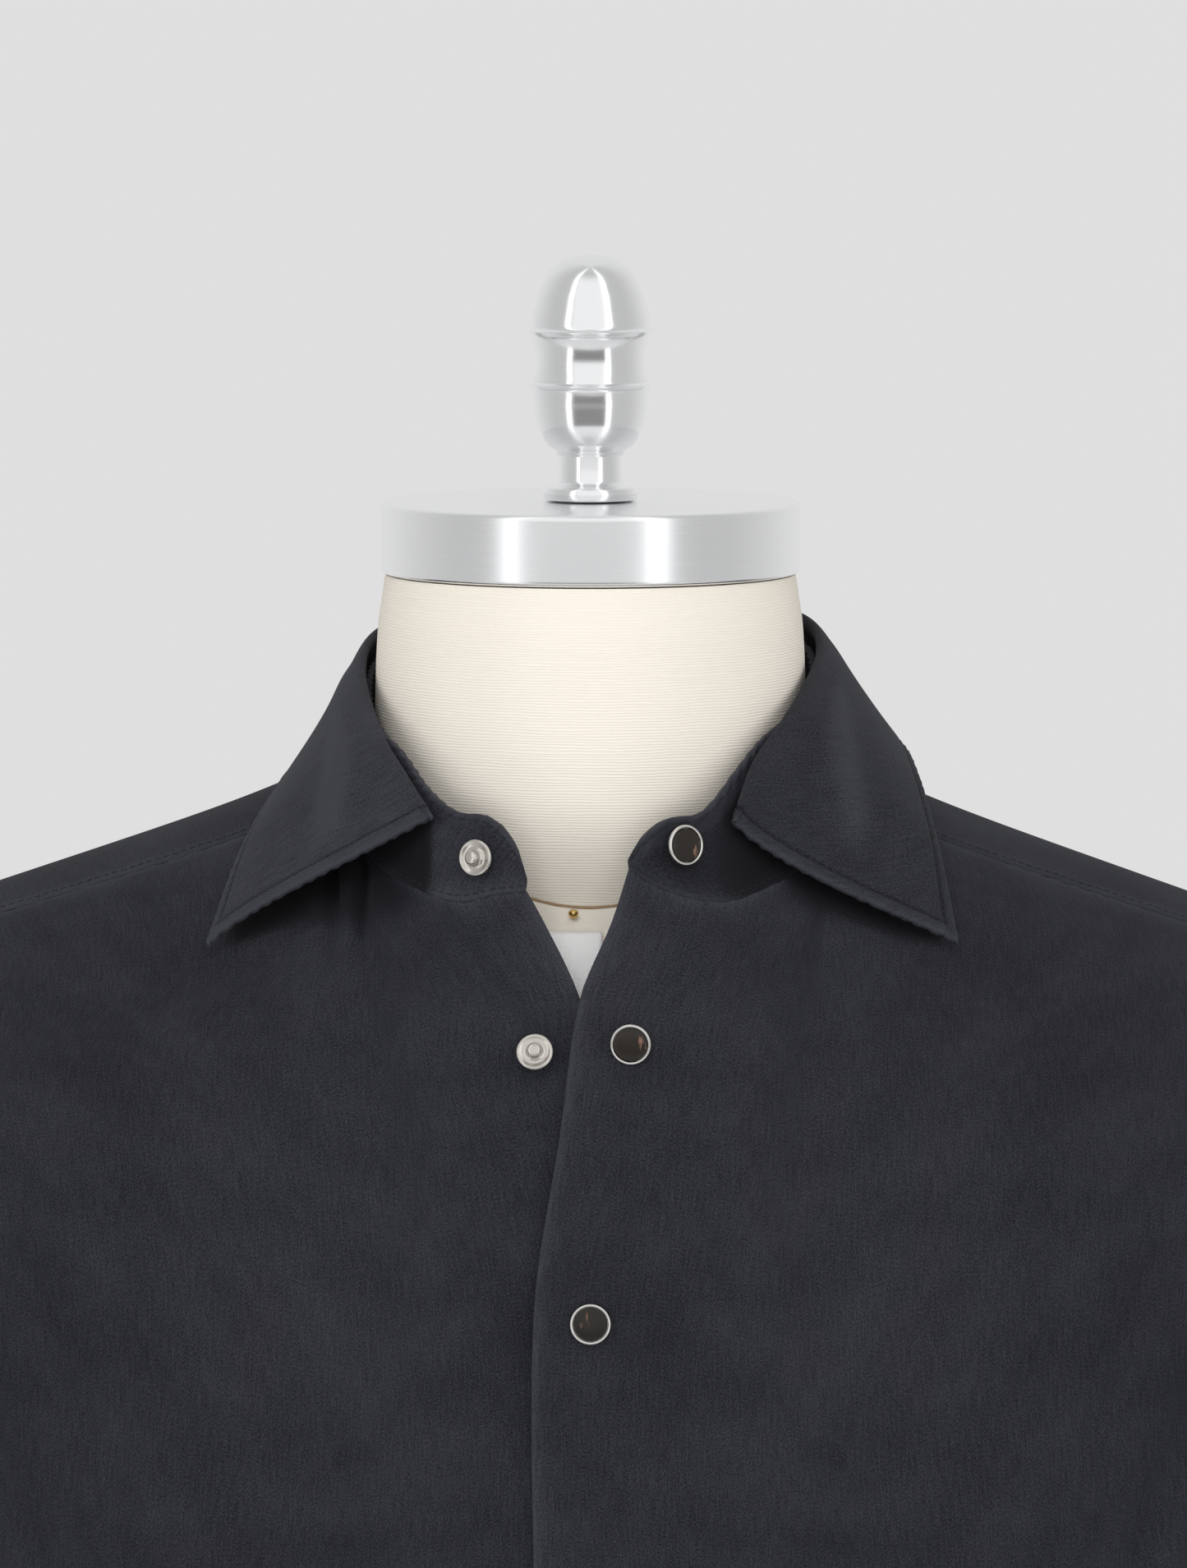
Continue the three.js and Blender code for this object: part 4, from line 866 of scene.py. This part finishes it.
# Real wear lightens the leaf along its edges. Painted shade darkens it along the stitch groove, painted highlights
# lighten the raised ridges of its soft folds, and the whole leaf is painted lighter towards negative x, where the
# key light falls.
leaf_wear_and_painted_light = 0.8 * np.exp(-sewn / 0.9) + 0.12 * smooth((4 - sewn) / 1.5)
leaf_wear_and_painted_light = leaf_wear_and_painted_light - 0.5 * np.exp(-((sewn - LEAF_STITCH) / 0.45) ** 2)
leaf_wear_and_painted_light = leaf_wear_and_painted_light + 0.35 * np.clip(soft, 0, 2) + lerp(0.1, 0.55, smooth((-leaf_points[..., 0] - 20) / 30))
collar = cloth("collar", leaf_points, shirting, thick=LEAF_WALL, gap=0, turned=0.55, wear_and_light_override=leaf_wear_and_painted_light)
fitted(collar, "cotton", "collar")
leaf_stitches = stitches("collar_stitches", *(inset(leaf_points[3:], leaf_normals[3:], edge, distance) for
                                              edge, distance in (("high", LEAF_STITCH), ("left", 4.77),
                                                                 ("right", 4.77))), skip=4.5)

# ------------------------------------------------------------------ the sleeves
# One long tube of the same cotton each, set into the armhole, hanging flat with soft creases and narrowing to
# the cuff, where small tucks take up its fullness.
sleeve_x = curve((100, 287), (176, 285), (300, 281), (400, 274), (500, 263))
sleeve_y = curve((100, -16), (176, -13), (300, -5), (400, 1), (500, 3))
sleeve_wide = curve((100, 23), (176, 24), (200, 29), (300, 31), (400, 33), (500, 40))
sleeve_deep = curve((100, 42), (176, 43), (200, 52), (300, 60), (400, 67), (500, 75))
BICEP, CUFF_TOP, CUFF_DEEP = 500, 176, 64


def sleeve(hand, s, z):
    a = 2 * math.pi * s
    crease = 2.2 * np.sin(3 * a + z / 37) * smooth((z - 190) / 60)
    x = sleeve_x(z) - (sleeve_wide(z) + crease * 0.5) * np.cos(a)
    return xyz(hand * x, sleeve_y(z) - (sleeve_deep(z) + crease) * np.sin(a), z)


def armhole_ring(hand, n):
    t = np.linspace(LOW_SHARE, 1, 60)
    front = side_edge(hand, tip_z(hand), t)
    low = float(arch_at(np.float64(hand * armhole_x(YOKE_BACK_Z)), YOKE_BACK_Z))
    arches = np.linspace(FRONT_SEAM_ARCH, low, 60)[1:]
    behind = side_edge(hand, YOKE_BACK_Z, np.linspace(BACK_LOW_SHARE, 1, 50), BACK_LOW_SHARE)[-2:0:-1]
    ring = np.concatenate([body(front[:, 0], front[:, 1], -1), on_arch(armhole_at_arch(hand, arches), arches),
                           body(behind[:, 0], behind[:, 1], 1)])
    return spaced(np.concatenate([ring, ring[:1]]), np.linspace(0, 1, n + 1)[:-1])


SLEEVE_COLUMNS = 120
for hand, name in ((-1, "sleeve_right"), (1, "sleeve_left")):
    ring = armhole_ring(hand, SLEEVE_COLUMNS)
    s = np.arange(SLEEVE_COLUMNS) / SLEEVE_COLUMNS
    up = (1 - np.cos(2 * math.pi * s)) / 2
    away = xyz(hand, -0.12 * np.sin(2 * math.pi * s), lerp(-0.25, -0.3, up)) * lerp(45, 120, up)[:, None]
    down = xyz(4 * hand, 0, -lerp(40, 190, up))
    t = np.concatenate([[0.008, 0.014, 0.024, 0.038], np.linspace(0.055, 1, 54)])[:, None, None]
    head = ((2 * t**3 - 3 * t**2 + 1) * ring + (t**3 - 2 * t**2 + t) * away
            + (3 * t**2 - 2 * t**3) * sleeve(hand, s, BICEP) + (t**3 - t**2) * down)
    low_z = np.concatenate([np.linspace(BICEP, 214, 84)[1:], np.linspace(212, 178.5, 14), [177.4, 176.3]])
    p = np.concatenate([head, sleeve(hand, s[None], low_z[:, None])])
    normals = outward(p, hand > 0, True)
    run = runs(p)[2]
    turn = 2 * math.pi * s[None]
    soft = smooth((run - 18) / 40) * smooth((run[-1:] - run) / 30)
    lift = 1.5 * np.sin(2 * turn + run / 23) * np.sin(run / 61 + turn) + 0.9 * np.sin(5 * turn - run / 31)
    tucks = 0.5 * np.sin(turn * 22) * smooth((34 - (run[-1:] - run)) / 26)
    seam = 0.5 * np.exp(-((run - 2.0) / 1.4) ** 2)
    p = p + normals * (lift * soft + tucks * smooth((run[-1:] - run) / 3) + seam)[..., None]
    piece = cloth(name, p, shirting, flip=hand > 0, ring=True, gap=0)
    fitted(piece, "cotton", name)

# ------------------------------------------------------------------ the cuffs and sleeve plackets
# Interlined bands that lap over behind, snapped on the outside, each below a narrow strip that finishes the
# sleeve's opening.
CUFF_STITCH = 5
cuff_points = {}
for hand, side_name in ((-1, "right"), (1, "left")):
    z = lerp(CUFF_TOP - 0.2, CUFF_TOP - CUFF_DEEP, ramp(26, CUFF_DEEP, (0.6, 1.4, 2.4, 3.6)))[:, None]
    t = ramp(130, 240, (0.6, 1.4, 2.4, 3.6))[None]
    angle = 2 * math.pi * (0.66 + 1.1 * t)
    r = 2.6 * smooth((t - 0.86) / 0.1)
    p = xyz(hand * (sleeve_x(z) - (sleeve_wide(140) + r) * np.cos(angle)),
            sleeve_y(z) - (sleeve_deep(140) + r) * np.sin(angle), z)
    outs = outward(p, hand > 0)
    p = p - outs * (0.25 * np.exp(-((from_edge(p) - CUFF_STITCH) / 0.9) ** 2))[..., None]
    cuff_rows = stitches("cuff_" + side_name + "_stitches", *(inset(p, outs, edge, CUFF_STITCH) for edge in
                                                              ("low", "high", "left", "right")), skip=5)
    cuff_points[hand] = p
    cuff = cloth("cuff_" + side_name, p, shirting, thick=BAND, flip=hand > 0, gap=0, turned=0.6)
    z = np.linspace(CUFF_TOP + 3, CUFF_TOP + 138, 70)[:, None]
    s = lerp(0.625, 0.685, ramp(14, 22, (0.6, 1.4, 2.4)))[None]
    around = sleeve(hand, s, z)
    out = around - xyz(hand * sleeve_x(z), sleeve_y(z), z)
    out /= np.linalg.norm(out, axis=-1, keepdims=True)
    p = around + out * (2.1 + 2 * smooth((CUFF_TOP + 40 - z) / 40))[..., None]
    placket = cloth("placket_" + side_name, p, shirting, flip=hand < 0, gap=0)
    outs = outward(p, hand < 0)
    placket_rows = stitches("placket_" + side_name + "_stitches", inset(p, outs, "left", 1.6),
                            inset(p, outs, "right", 1.6))
    for piece, rows, flat in ((cuff, cuff_rows, (0.227, 0.064)), (placket, placket_rows, (0.016, 0.136))):
        fitted(piece, "cotton", piece.name.removesuffix("_cloth"))

# ------------------------------------------------------------------ the form
# A moulded torso padded and covered in fine cream knit, with a round neck seamed on at the throat. It has no
# limbs and stands on its flat base.
form_half = curve((0, 158), (60, 170), (150, 168), (290, 148), (420, 158), (540, 170), (620, 180), (690, 196),
                  (730, 200), (850, 200))
form_front = curve((0, 100), (60, 110), (150, 108), (290, 100), (420, 110), (540, 118), (620, 117), (850, 118))
form_back = curve((0, 104), (60, 114), (150, 114), (290, 92), (420, 98), (540, 107), (620, 109), (850, 107))
FORM_SQUARE = 2.15


def form_ridge(x):
    return ridge_z(x) - 5 - 38 * np.exp(-((x / 45) ** 2)) - 10 * smooth((np.abs(x) - 170) / 40)


def form(q, z, side):
    """The form's skin, with the same q, height and side as the shirt's."""
    depth = np.where(side < 0, form_front(z), form_back(z))
    return torso(q, z, side, form_half(z), depth, form_ridge, FORM_SQUARE)


def form_top(q, a):
    z = np.full(np.broadcast(q, a).shape, float(CHEST))
    for _ in range(50):
        x = form(q, z, 1)[..., 0]
        z = lerp(z, CHEST + (form_ridge(x) - CHEST) * np.cos(a) ** (2 / ARCH_Z), 0.5)
    return z


def stack(name, rings, finish):
    """A closed skin over a stack of rings, the lowest first."""
    rows, n = rings.shape[:2]
    index = np.arange(rows * n).reshape(rows, n)
    faces = quads(closed_round(index)).tolist() + [index[0, ::-1].tolist(), index[-1].tolist()]
    return new_piece(name, rings, faces, finish)


# Fine knit: narrow courses round the body, soft cloudiness, a little yellowed.
COURSE = 0.00085
knit, given, gives = group_of(
    "fine_knit", [("Where", VECTOR, (0, 0, 0)), ("Light", COLOUR, (1, 1, 1, 1)), ("Deep", COLOUR, (1, 1, 1, 1))],
    [("Colour", COLOUR), ("Height", FLOAT)])
where = given["Where"]
wander = noise(stretched(where, (60, 60, 400)), 1.0, 2.0, 0.5) * 0.0012
course = maths("SINE", (axes(where)[2] + wander) * (2 * math.pi / COURSE))
grain = noise(stretched(where, (900, 900, 1600)), 1.0, 3.0, 0.6)
tone = (course * 0.06 + grain * 0.5 + noise(where, 22, 3.0, 0.5) * 0.4).within(0.0, 1.0)
joined(knit, mixed(tone, given["Deep"], given["Light"]), gives["Colour"])
joined(knit, course * 0.6 + grain, gives["Height"])


def knit_finish(name, light, deep):
    finish, tree, shader = new_finish(name, Roughness=0.9, Specular_IOR_Level=0.2)
    cover = covered(tree, knit, 0.5, 0.12, Where=object_space(tree), Light=(*light, 1), Deep=(*deep, 1))
    joined(tree, cover["Colour"], shader["Base Color"])
    return finish


cream_knit = knit_finish("cream_knit", (0.866, 0.817, 0.737), (0.806, 0.747, 0.653))
half_round = np.linspace(-1, 1, 81)
around_q = np.concatenate([half_round[:-1], half_round[:0:-1]])[None]
around_side = np.concatenate([np.full(80, -1), np.full(80, 1)])[None]
low_rings = form(around_q, np.linspace(0, CHEST, 90)[:, None], around_side)
over = np.linspace(math.pi / 2, 0.06, 40)[1:, None]
top_rings = form(around_q, form_top(around_q, over), around_side)
form_body = stack("form_body_cover", np.concatenate([low_rings, top_rings]), cream_knit)
neck_z = np.linspace(730, 854.2, 60)[:, None]
neck_rx = curve((730, 60), (775, 64), (800, 64.5), (820, 64.3), (839, 63.4), (849, 62), (854.2, 61.2))(neck_z)
neck_ry = curve((730, 56), (775, 63), (800, 64.5), (820, 64.5), (839, 64), (849, 62.4), (854.2, 61.4))(neck_z)
neck_y = curve((730, 4), (775, 1), (800, 0), (854.2, 0))(neck_z)
turn = np.linspace(0, 2 * math.pi, 161)[:-1][None]
form_neck = stack("form_neck", xyz(neck_rx * np.cos(turn), neck_y + neck_ry * np.sin(turn), neck_z), cream_knit)
union = form_body.modifiers.new("neck", "BOOLEAN")
union.operation = "UNION"
union.object = form_neck
union.solver = "EXACT"
bpy.context.view_layer.objects.active = form_body
bpy.ops.object.modifier_apply(modifier=union.name)
bpy.data.objects.remove(form_neck)
form_body.data.shade_smooth()
form_body.select_set(True)
bpy.ops.object.shade_smooth_by_angle(angle=math.radians(40))
form_body.select_set(False)
fitted(form_body, "knit_cover", "form_body")

# The neck seam: a thin piped cord in the join between neck and body.
NECK_SEAM_CORD = 0.55


low_neck_rx = curve((730, 60), (775, 64), (800, 64.5))
low_neck_ry = curve((730, 56), (775, 63), (800, 64.5))
low_neck_y = curve((730, 4), (775, 1), (800, 0))


def throat(angle):
    """Where the neck meets the body in this direction."""
    low, high = np.full_like(angle, 735.0), np.full_like(angle, 800.0)
    for _ in range(30):
        z = (low + high) / 2
        x, y = low_neck_rx(z) * np.cos(angle), low_neck_y(z) + low_neck_ry(z) * np.sin(angle)
        skin = form(q_of(x, z, form_half, FORM_SQUARE), z, np.where(y < middle_y(z), -1, 1))[..., 1]
        inside = np.abs(y - middle_y(z)) < np.abs(skin - middle_y(z))
        low, high = np.where(inside, z, low), np.where(inside, high, z)
    return xyz(x, y, z)


def cord_ring(name, line, radius, finish, sides=8):
    """A closed thin cord round a closed line."""
    ahead = np.roll(line, -1, 0) - np.roll(line, 1, 0)
    ahead /= np.linalg.norm(ahead, axis=1, keepdims=True)
    side = np.cross(ahead, (0, 0, 1))
    side /= np.linalg.norm(side, axis=1, keepdims=True)
    lift = np.cross(side, ahead)
    turn = np.linspace(0, 2 * math.pi, sides, endpoint=False)
    turn = turn[:, None]
    points = line[:, None] + radius * (side[:, None] * np.cos(turn) + lift[:, None] * np.sin(turn))
    index = np.arange(points.shape[0] * sides).reshape(-1, sides)
    faces = quads(closed_round(np.concatenate([index, index[:1]])))[:, [0, 3, 2, 1]]
    return new_piece(name, points, faces.tolist(), finish)


piping = knit_finish("brown_piping", (0.42, 0.30, 0.19), (0.30, 0.21, 0.13))
throat_line = throat(np.linspace(0, 2 * math.pi, 241)[:-1])
neck_seam = cord_ring("form_neck_seam", throat_line, NECK_SEAM_CORD, piping)
fitted(neck_seam, "knit_cover")

# ------------------------------------------------------------------ the patch on the form
# A plain pale square of woven cloth on the throat, just below the neck seam. It lies flat on the knit and is
# fixed along its edges.
pale_cloth = cloth_finish("pale_cloth", (0.96, 0.96, 0.96), (0.99, 0.99, 0.99), 2200, 0.08, 0.0)
z = np.linspace(700, 753, 40)[:, None]
x = np.linspace(-37, 3.4, 36)[None]
patch_points = form(q_of(x, z, form_half, FORM_SQUARE), z, -1) + xyz(0, -1.9, 1.3)
patch = cloth("form_patch", patch_points, pale_cloth, thick=0.8, gap=0, turned=0.2)
fitted(patch, "patch_cloth", "form_patch")

# ------------------------------------------------------------------ the neck cap and knob
# Both turned from aluminium on a lathe: a flat disc with a brushed rim, and a polished acorn knob on a stem,
# fixed through the disc's middle into the top of the neck.
CAP_BOTTOM, CAP_R, CAP_DEEP = 854.5, 62.6, 21.3


def lathe(name, profile, sides, finish, sharp=35):
    """A turned part: one ring drawn up through its steps of (radius, height), then closed at both ends."""
    bpy.ops.mesh.primitive_circle_add(vertices=sides, radius=profile[0][0] * MM, fill_type="NGON",
                                      location=(0, 0, profile[0][1] * MM))
    piece = bpy.context.object
    piece.name = piece.data.name = name
    bpy.ops.object.transform_apply(location=True)
    bpy.ops.object.mode_set(mode="EDIT")
    bpy.ops.mesh.delete(type="ONLY_FACE")
    bpy.ops.mesh.select_all(action="SELECT")
    bpy.ops.mesh.edge_face_add()
    bpy.ops.mesh.select_all(action="SELECT")
    for (r0, z0), (r1, z1) in zip(profile, profile[1:]):
        bpy.ops.mesh.extrude_region_move(TRANSFORM_OT_translate={"value": (0, 0, (z1 - z0) * MM)})
        bpy.ops.transform.resize(value=(r1 / r0, r1 / r0, 1), center_override=(0, 0, z1 * MM))
    bpy.ops.mesh.select_all(action="SELECT")
    bpy.ops.mesh.normals_make_consistent(inside=False)
    bpy.ops.object.mode_set(mode="OBJECT")
    bpy.ops.object.shade_smooth_by_angle(angle=math.radians(sharp))
    piece.data.materials.append(finish)
    piece.select_set(False)
    return piece


def rounded(profile, n=4):
    """The same profile with smooth curves between its steps."""
    line = smooth_line(np.array(profile, float), at=np.linspace(0, 1, n * len(profile)))
    return [tuple(p) for p in line]


# Lathe marks: fine rings round the turning axis, in roughness and relief.
lathe_marks, given, gives = group_of(
    "lathe_marks",
    [("Where", VECTOR, (0, 0, 0)), ("Fineness", FLOAT, 1), ("Rough", FLOAT, 0.25), ("Spread", FLOAT, 0.1)],
    [("Roughness", FLOAT), ("Height", FLOAT), ("Tone", FLOAT)])
where, fineness = given["Where"], given["Fineness"]
x, y, z = axes(where)
length = lathe_marks.nodes.new("ShaderNodeVectorMath")
length.operation = "LENGTH"
joined(lathe_marks, placed(lathe_marks, "ShaderNodeCombineXYZ", X=x, Y=y), length.inputs[0])
from_axis = Wire(lathe_marks, length.outputs["Value"])
turn_angle = maths("ARCTAN2", y, x)
ringed = placed(lathe_marks, "ShaderNodeCombineXYZ", X=from_axis * fineness,
                Y=maths("ABSOLUTE", turn_angle) * 2.2, Z=z * fineness)
lines = noise(ringed, 1.0, 4.0, 0.65)
blotch = noise(where, 45, 3.0, 0.5) * 0.5
joined(lathe_marks, given["Rough"] + (lines + blotch) * given["Spread"], gives["Roughness"])
joined(lathe_marks, lines, gives["Height"])
joined(lathe_marks, lines, gives["Tone"])


def metal_finish(name, bright, dull, rough, spread, fineness, bump_mm):
    finish, tree, shader = new_finish(name, Metallic=1)
    marks = covered(tree, lathe_marks, 0.5, bump_mm, Where=object_space(tree), Fineness=fineness, Rough=rough,
                    Spread=spread)
    joined(tree, mixed(marks["Tone"], (*dull, 1), (*bright, 1)), shader["Base Color"])
    joined(tree, marks["Roughness"], shader["Roughness"])
    return finish


brushed = metal_finish("brushed_aluminium", (0.93, 0.93, 0.94), (0.84, 0.85, 0.86), 0.16, 0.12, 4200, 0.008)
polished = metal_finish("polished_aluminium", (0.93, 0.93, 0.94), (0.86, 0.87, 0.88), 0.08, 0.1, 3000, 0.002)
cap_steps = [(60.6, 0), (61.6, 0.15), (62.3, 0.6), (CAP_R, 1.3), (CAP_R, 1.8), (CAP_R, 10), (CAP_R, 19.4),
             (CAP_R, 19.9), (62.4, 20.6), (61.9, 21.1), (61.2, CAP_DEEP), (60.6, CAP_DEEP), (45, CAP_DEEP),
             (25, CAP_DEEP)]
neck_cap = lathe("neck_cap", [(r, CAP_BOTTOM + z) for r, z in cap_steps], 160, brushed)
fitted(neck_cap, "aluminium", "form_neck_cap")
KNOB_AT = CAP_BOTTOM + CAP_DEEP + 0.3
foot = [(12.8, 0), (13.6, 0.2), (14.1, 0.8), (14.15, 2.4), (14, 3.6), (13.6, 4.2), (11.6, 4.6), (10.4, 4.9),
        (9.8, 5.5), (9.6, 6.4), (9.5, 10), (9.5, 13.4), (9.9, 13.6), (10.2, 14.4)]
lower_bulb = rounded([(10.4, 14.8), (13, 16.6), (15.8, 21), (17, 27), (17.4, 31), (18.1, 34.0)])
ridge_one = [(18.8, 34.5), (18.6, 34.9), (18.0, 35.3)]
waist = rounded([(17.5, 35.5), (16.7, 38.6), (16.4, 42), (16.9, 45.6), (18.2, 49.4), (18.9, 50.1)])
ridge_two = [(19.4, 50.5), (19.2, 50.9), (18.5, 51.3)]
dome = rounded([(18.1, 51.8), (17.8, 54.5), (16.9, 58.4), (15.4, 63.2), (12.6, 68.4), (8.2, 72.2), (3.6, 73.5),
                (1.2, 73.6)])
knob_steps = [(r, z + KNOB_AT) for r, z in [*foot, *lower_bulb, *ridge_one, *waist, *ridge_two, *dome]]
fitted(lathe("knob", knob_steps, 96, polished, 50), "aluminium", "form_knob")

# ------------------------------------------------------------------ the throat pin
# A small brass ball-headed pin, pushed into the padding at the middle of the neck seam, so that only its head
# shows.
brass = metal_finish("brass", (0.80, 0.56, 0.20), (0.62, 0.42, 0.14), 0.22, 0.15, 900, 0.01)
PIN_R = 1.5 * MM
PIN_AT = (-5 * MM, -63.3 * MM, 758.9 * MM)
bpy.ops.mesh.primitive_uv_sphere_add(segments=32, ring_count=20, radius=PIN_R, location=PIN_AT)
pin = bpy.context.object
pin.name = pin.data.name = "throat_pin"
bpy.ops.object.transform_apply(location=True)
bpy.ops.object.mode_set(mode="EDIT")
bpy.ops.mesh.select_all(action="SELECT")
bpy.ops.transform.resize(value=(1, 1, 0.9), center_override=PIN_AT)
bpy.ops.object.mode_set(mode="OBJECT")
bpy.ops.object.shade_smooth()
pin.select_set(False)
pin.data.materials.append(brass)
fitted(pin, "brass", "form_pin")

# ------------------------------------------------------------------ snaps and studs
# Ring snaps: a dark horn disc held in a thin steel rim, and the bare steel studs of the two open ones. Each is
# pressed through the cloth near its edge.
steel = metal_finish("snap_steel", (0.80, 0.78, 0.74), (0.66, 0.64, 0.60), 0.14, 0.06, 600, 0.002)
stud_steel = metal_finish("stud_steel", (0.70, 0.67, 0.62), (0.48, 0.46, 0.43), 0.16, 0.08, 600, 0.002)
horn, tree, shader = new_finish("dark_horn", Coat_Weight=0.05, Coat_Roughness=0.2, Specular_IOR_Level=0.22)
where = object_space(tree)
flow = noise(where, 90, 3.0, 0.5)
streak = noise(stretched(where, (420, 200, 110), (0, math.radians(-32), 0)), 1.0, 3.0, 0.6)
vein = ((streak + flow * 0.35 - 0.79) * 7.0).within(0.0, 1.0)
deep = mixed(flow, (0.010, 0.009, 0.008, 1), (0.026, 0.021, 0.018, 1))
joined(tree, mixed(vein, deep, (0.30, 0.17, 0.11, 1)), shader["Base Color"])
joined(tree, streak * 0.18 + 0.16, shader["Roughness"])

rim_master = lathe("rim_master", [(5.2, 0), (5.6, 0.15), (5.9, 0.5), (6.0, 1.0), (5.95, 1.4), (5.82, 1.74),
                                  (5.58, 1.9), (5.28, 1.84), (5.1, 1.6), (5.03, 0.95), (2, 0.8)], 64, steel, 50)
inlay_master = lathe("inlay_master", [(3.2, 1.0), (4.9, 1.05), (4.95, 1.42), (4.82, 1.6), (4.2, 1.78), (2.8, 1.96),
                                      (1.0, 2.05)], 48, horn, 50)
stud_master = lathe("stud_master", [(4.6, 0), (5.2, 0.1), (5.42, 0.5), (5.4, 1.0), (5.1, 1.35), (4.7, 1.42),
                                    (4.3, 1.2), (3.6, 0.95), (2.9, 0.95), (2.3, 1.25), (2.0, 1.7), (1.75, 2.3),
                                    (2.05, 3.1), (1.95, 3.6), (1.5, 3.85), (0.5, 3.9)], 48, stud_steel, 50)


def fixed_at(master, name, point, normal, lift, node, slot_name):
    """A copy of a snap part with its own mesh, pressed onto the cloth."""
    copy = bpy.data.objects.new(name, master.data.copy())
    bpy.context.scene.collection.objects.link(copy)
    normal = Vector(normal).normalized()
    place = Matrix.Translation((Vector(point) + normal * lift) * MM)
    copy.data.transform(place @ Vector((0, 0, 1)).rotation_difference(normal).to_matrix().to_4x4())
    fitted(copy, slot_name, node)


def on_body(x, z):
    """A place on the fronts and the way out of the cloth there."""
    def at(x, z):
        return body(q_of(np.float64(x), z), z, -1)
    return at(x, z), np.cross(at(x + 4, z) - at(x - 4, z), at(x, z + 4) - at(x, z - 4))


def snap(name, point, normal, lift):
    fixed_at(rim_master, name + "_ring", point, normal, lift, name + "_rim", "snap_metal")
    fixed_at(inlay_master, name + "_disc", point, normal, lift, name + "_inlay", "horn")


def on_stand(fraction, v_at):
    i, j = int(np.argmin(np.abs(STAND_AT - fraction))), int(np.argmin(np.abs(v[:, 0] - v_at)))
    return stand_points[j, i], stand_normals[j, i]


# The band's ends twist outward, so the two parts of the top snap look half away from each other.
snap("snap_stand", on_stand(32.7 / BAND_STEPS, 0.65)[0], (0.56, -0.82, 0.1), 1.6)
fixed_at(stud_master, "stud_stand_plate", on_stand(1.05 / BAND_STEPS, 0.52)[0], (-0.48, -0.87, 0.1), 1.4,
         "stud_stand", "snap_metal")
snap("snap_2", on_body(11.9, 726.4)[0], (-0.1, -1, -0.05), 1.7)
fixed_at(stud_master, "stud_2_plate", *on_body(-16, 723.6), 0.35, "stud_2", "snap_metal")
LOWER_SNAPS, CUFF_SNAP = np.linspace(647, 237, 6), (13, 121)
for number, z in enumerate(LOWER_SNAPS):
    snap(f"snap_{number + 3}", *on_body(0, z), 0.35)
for hand, side_name in ((-1, "right"), (1, "left")):
    p = cuff_points[hand]
    normals = outward(p, hand > 0)
    snap("snap_cuff_" + side_name, p[CUFF_SNAP], normals[CUFF_SNAP], 0.6)
for master in (rim_master, inlay_master, stud_master):
    bpy.data.objects.remove(master)
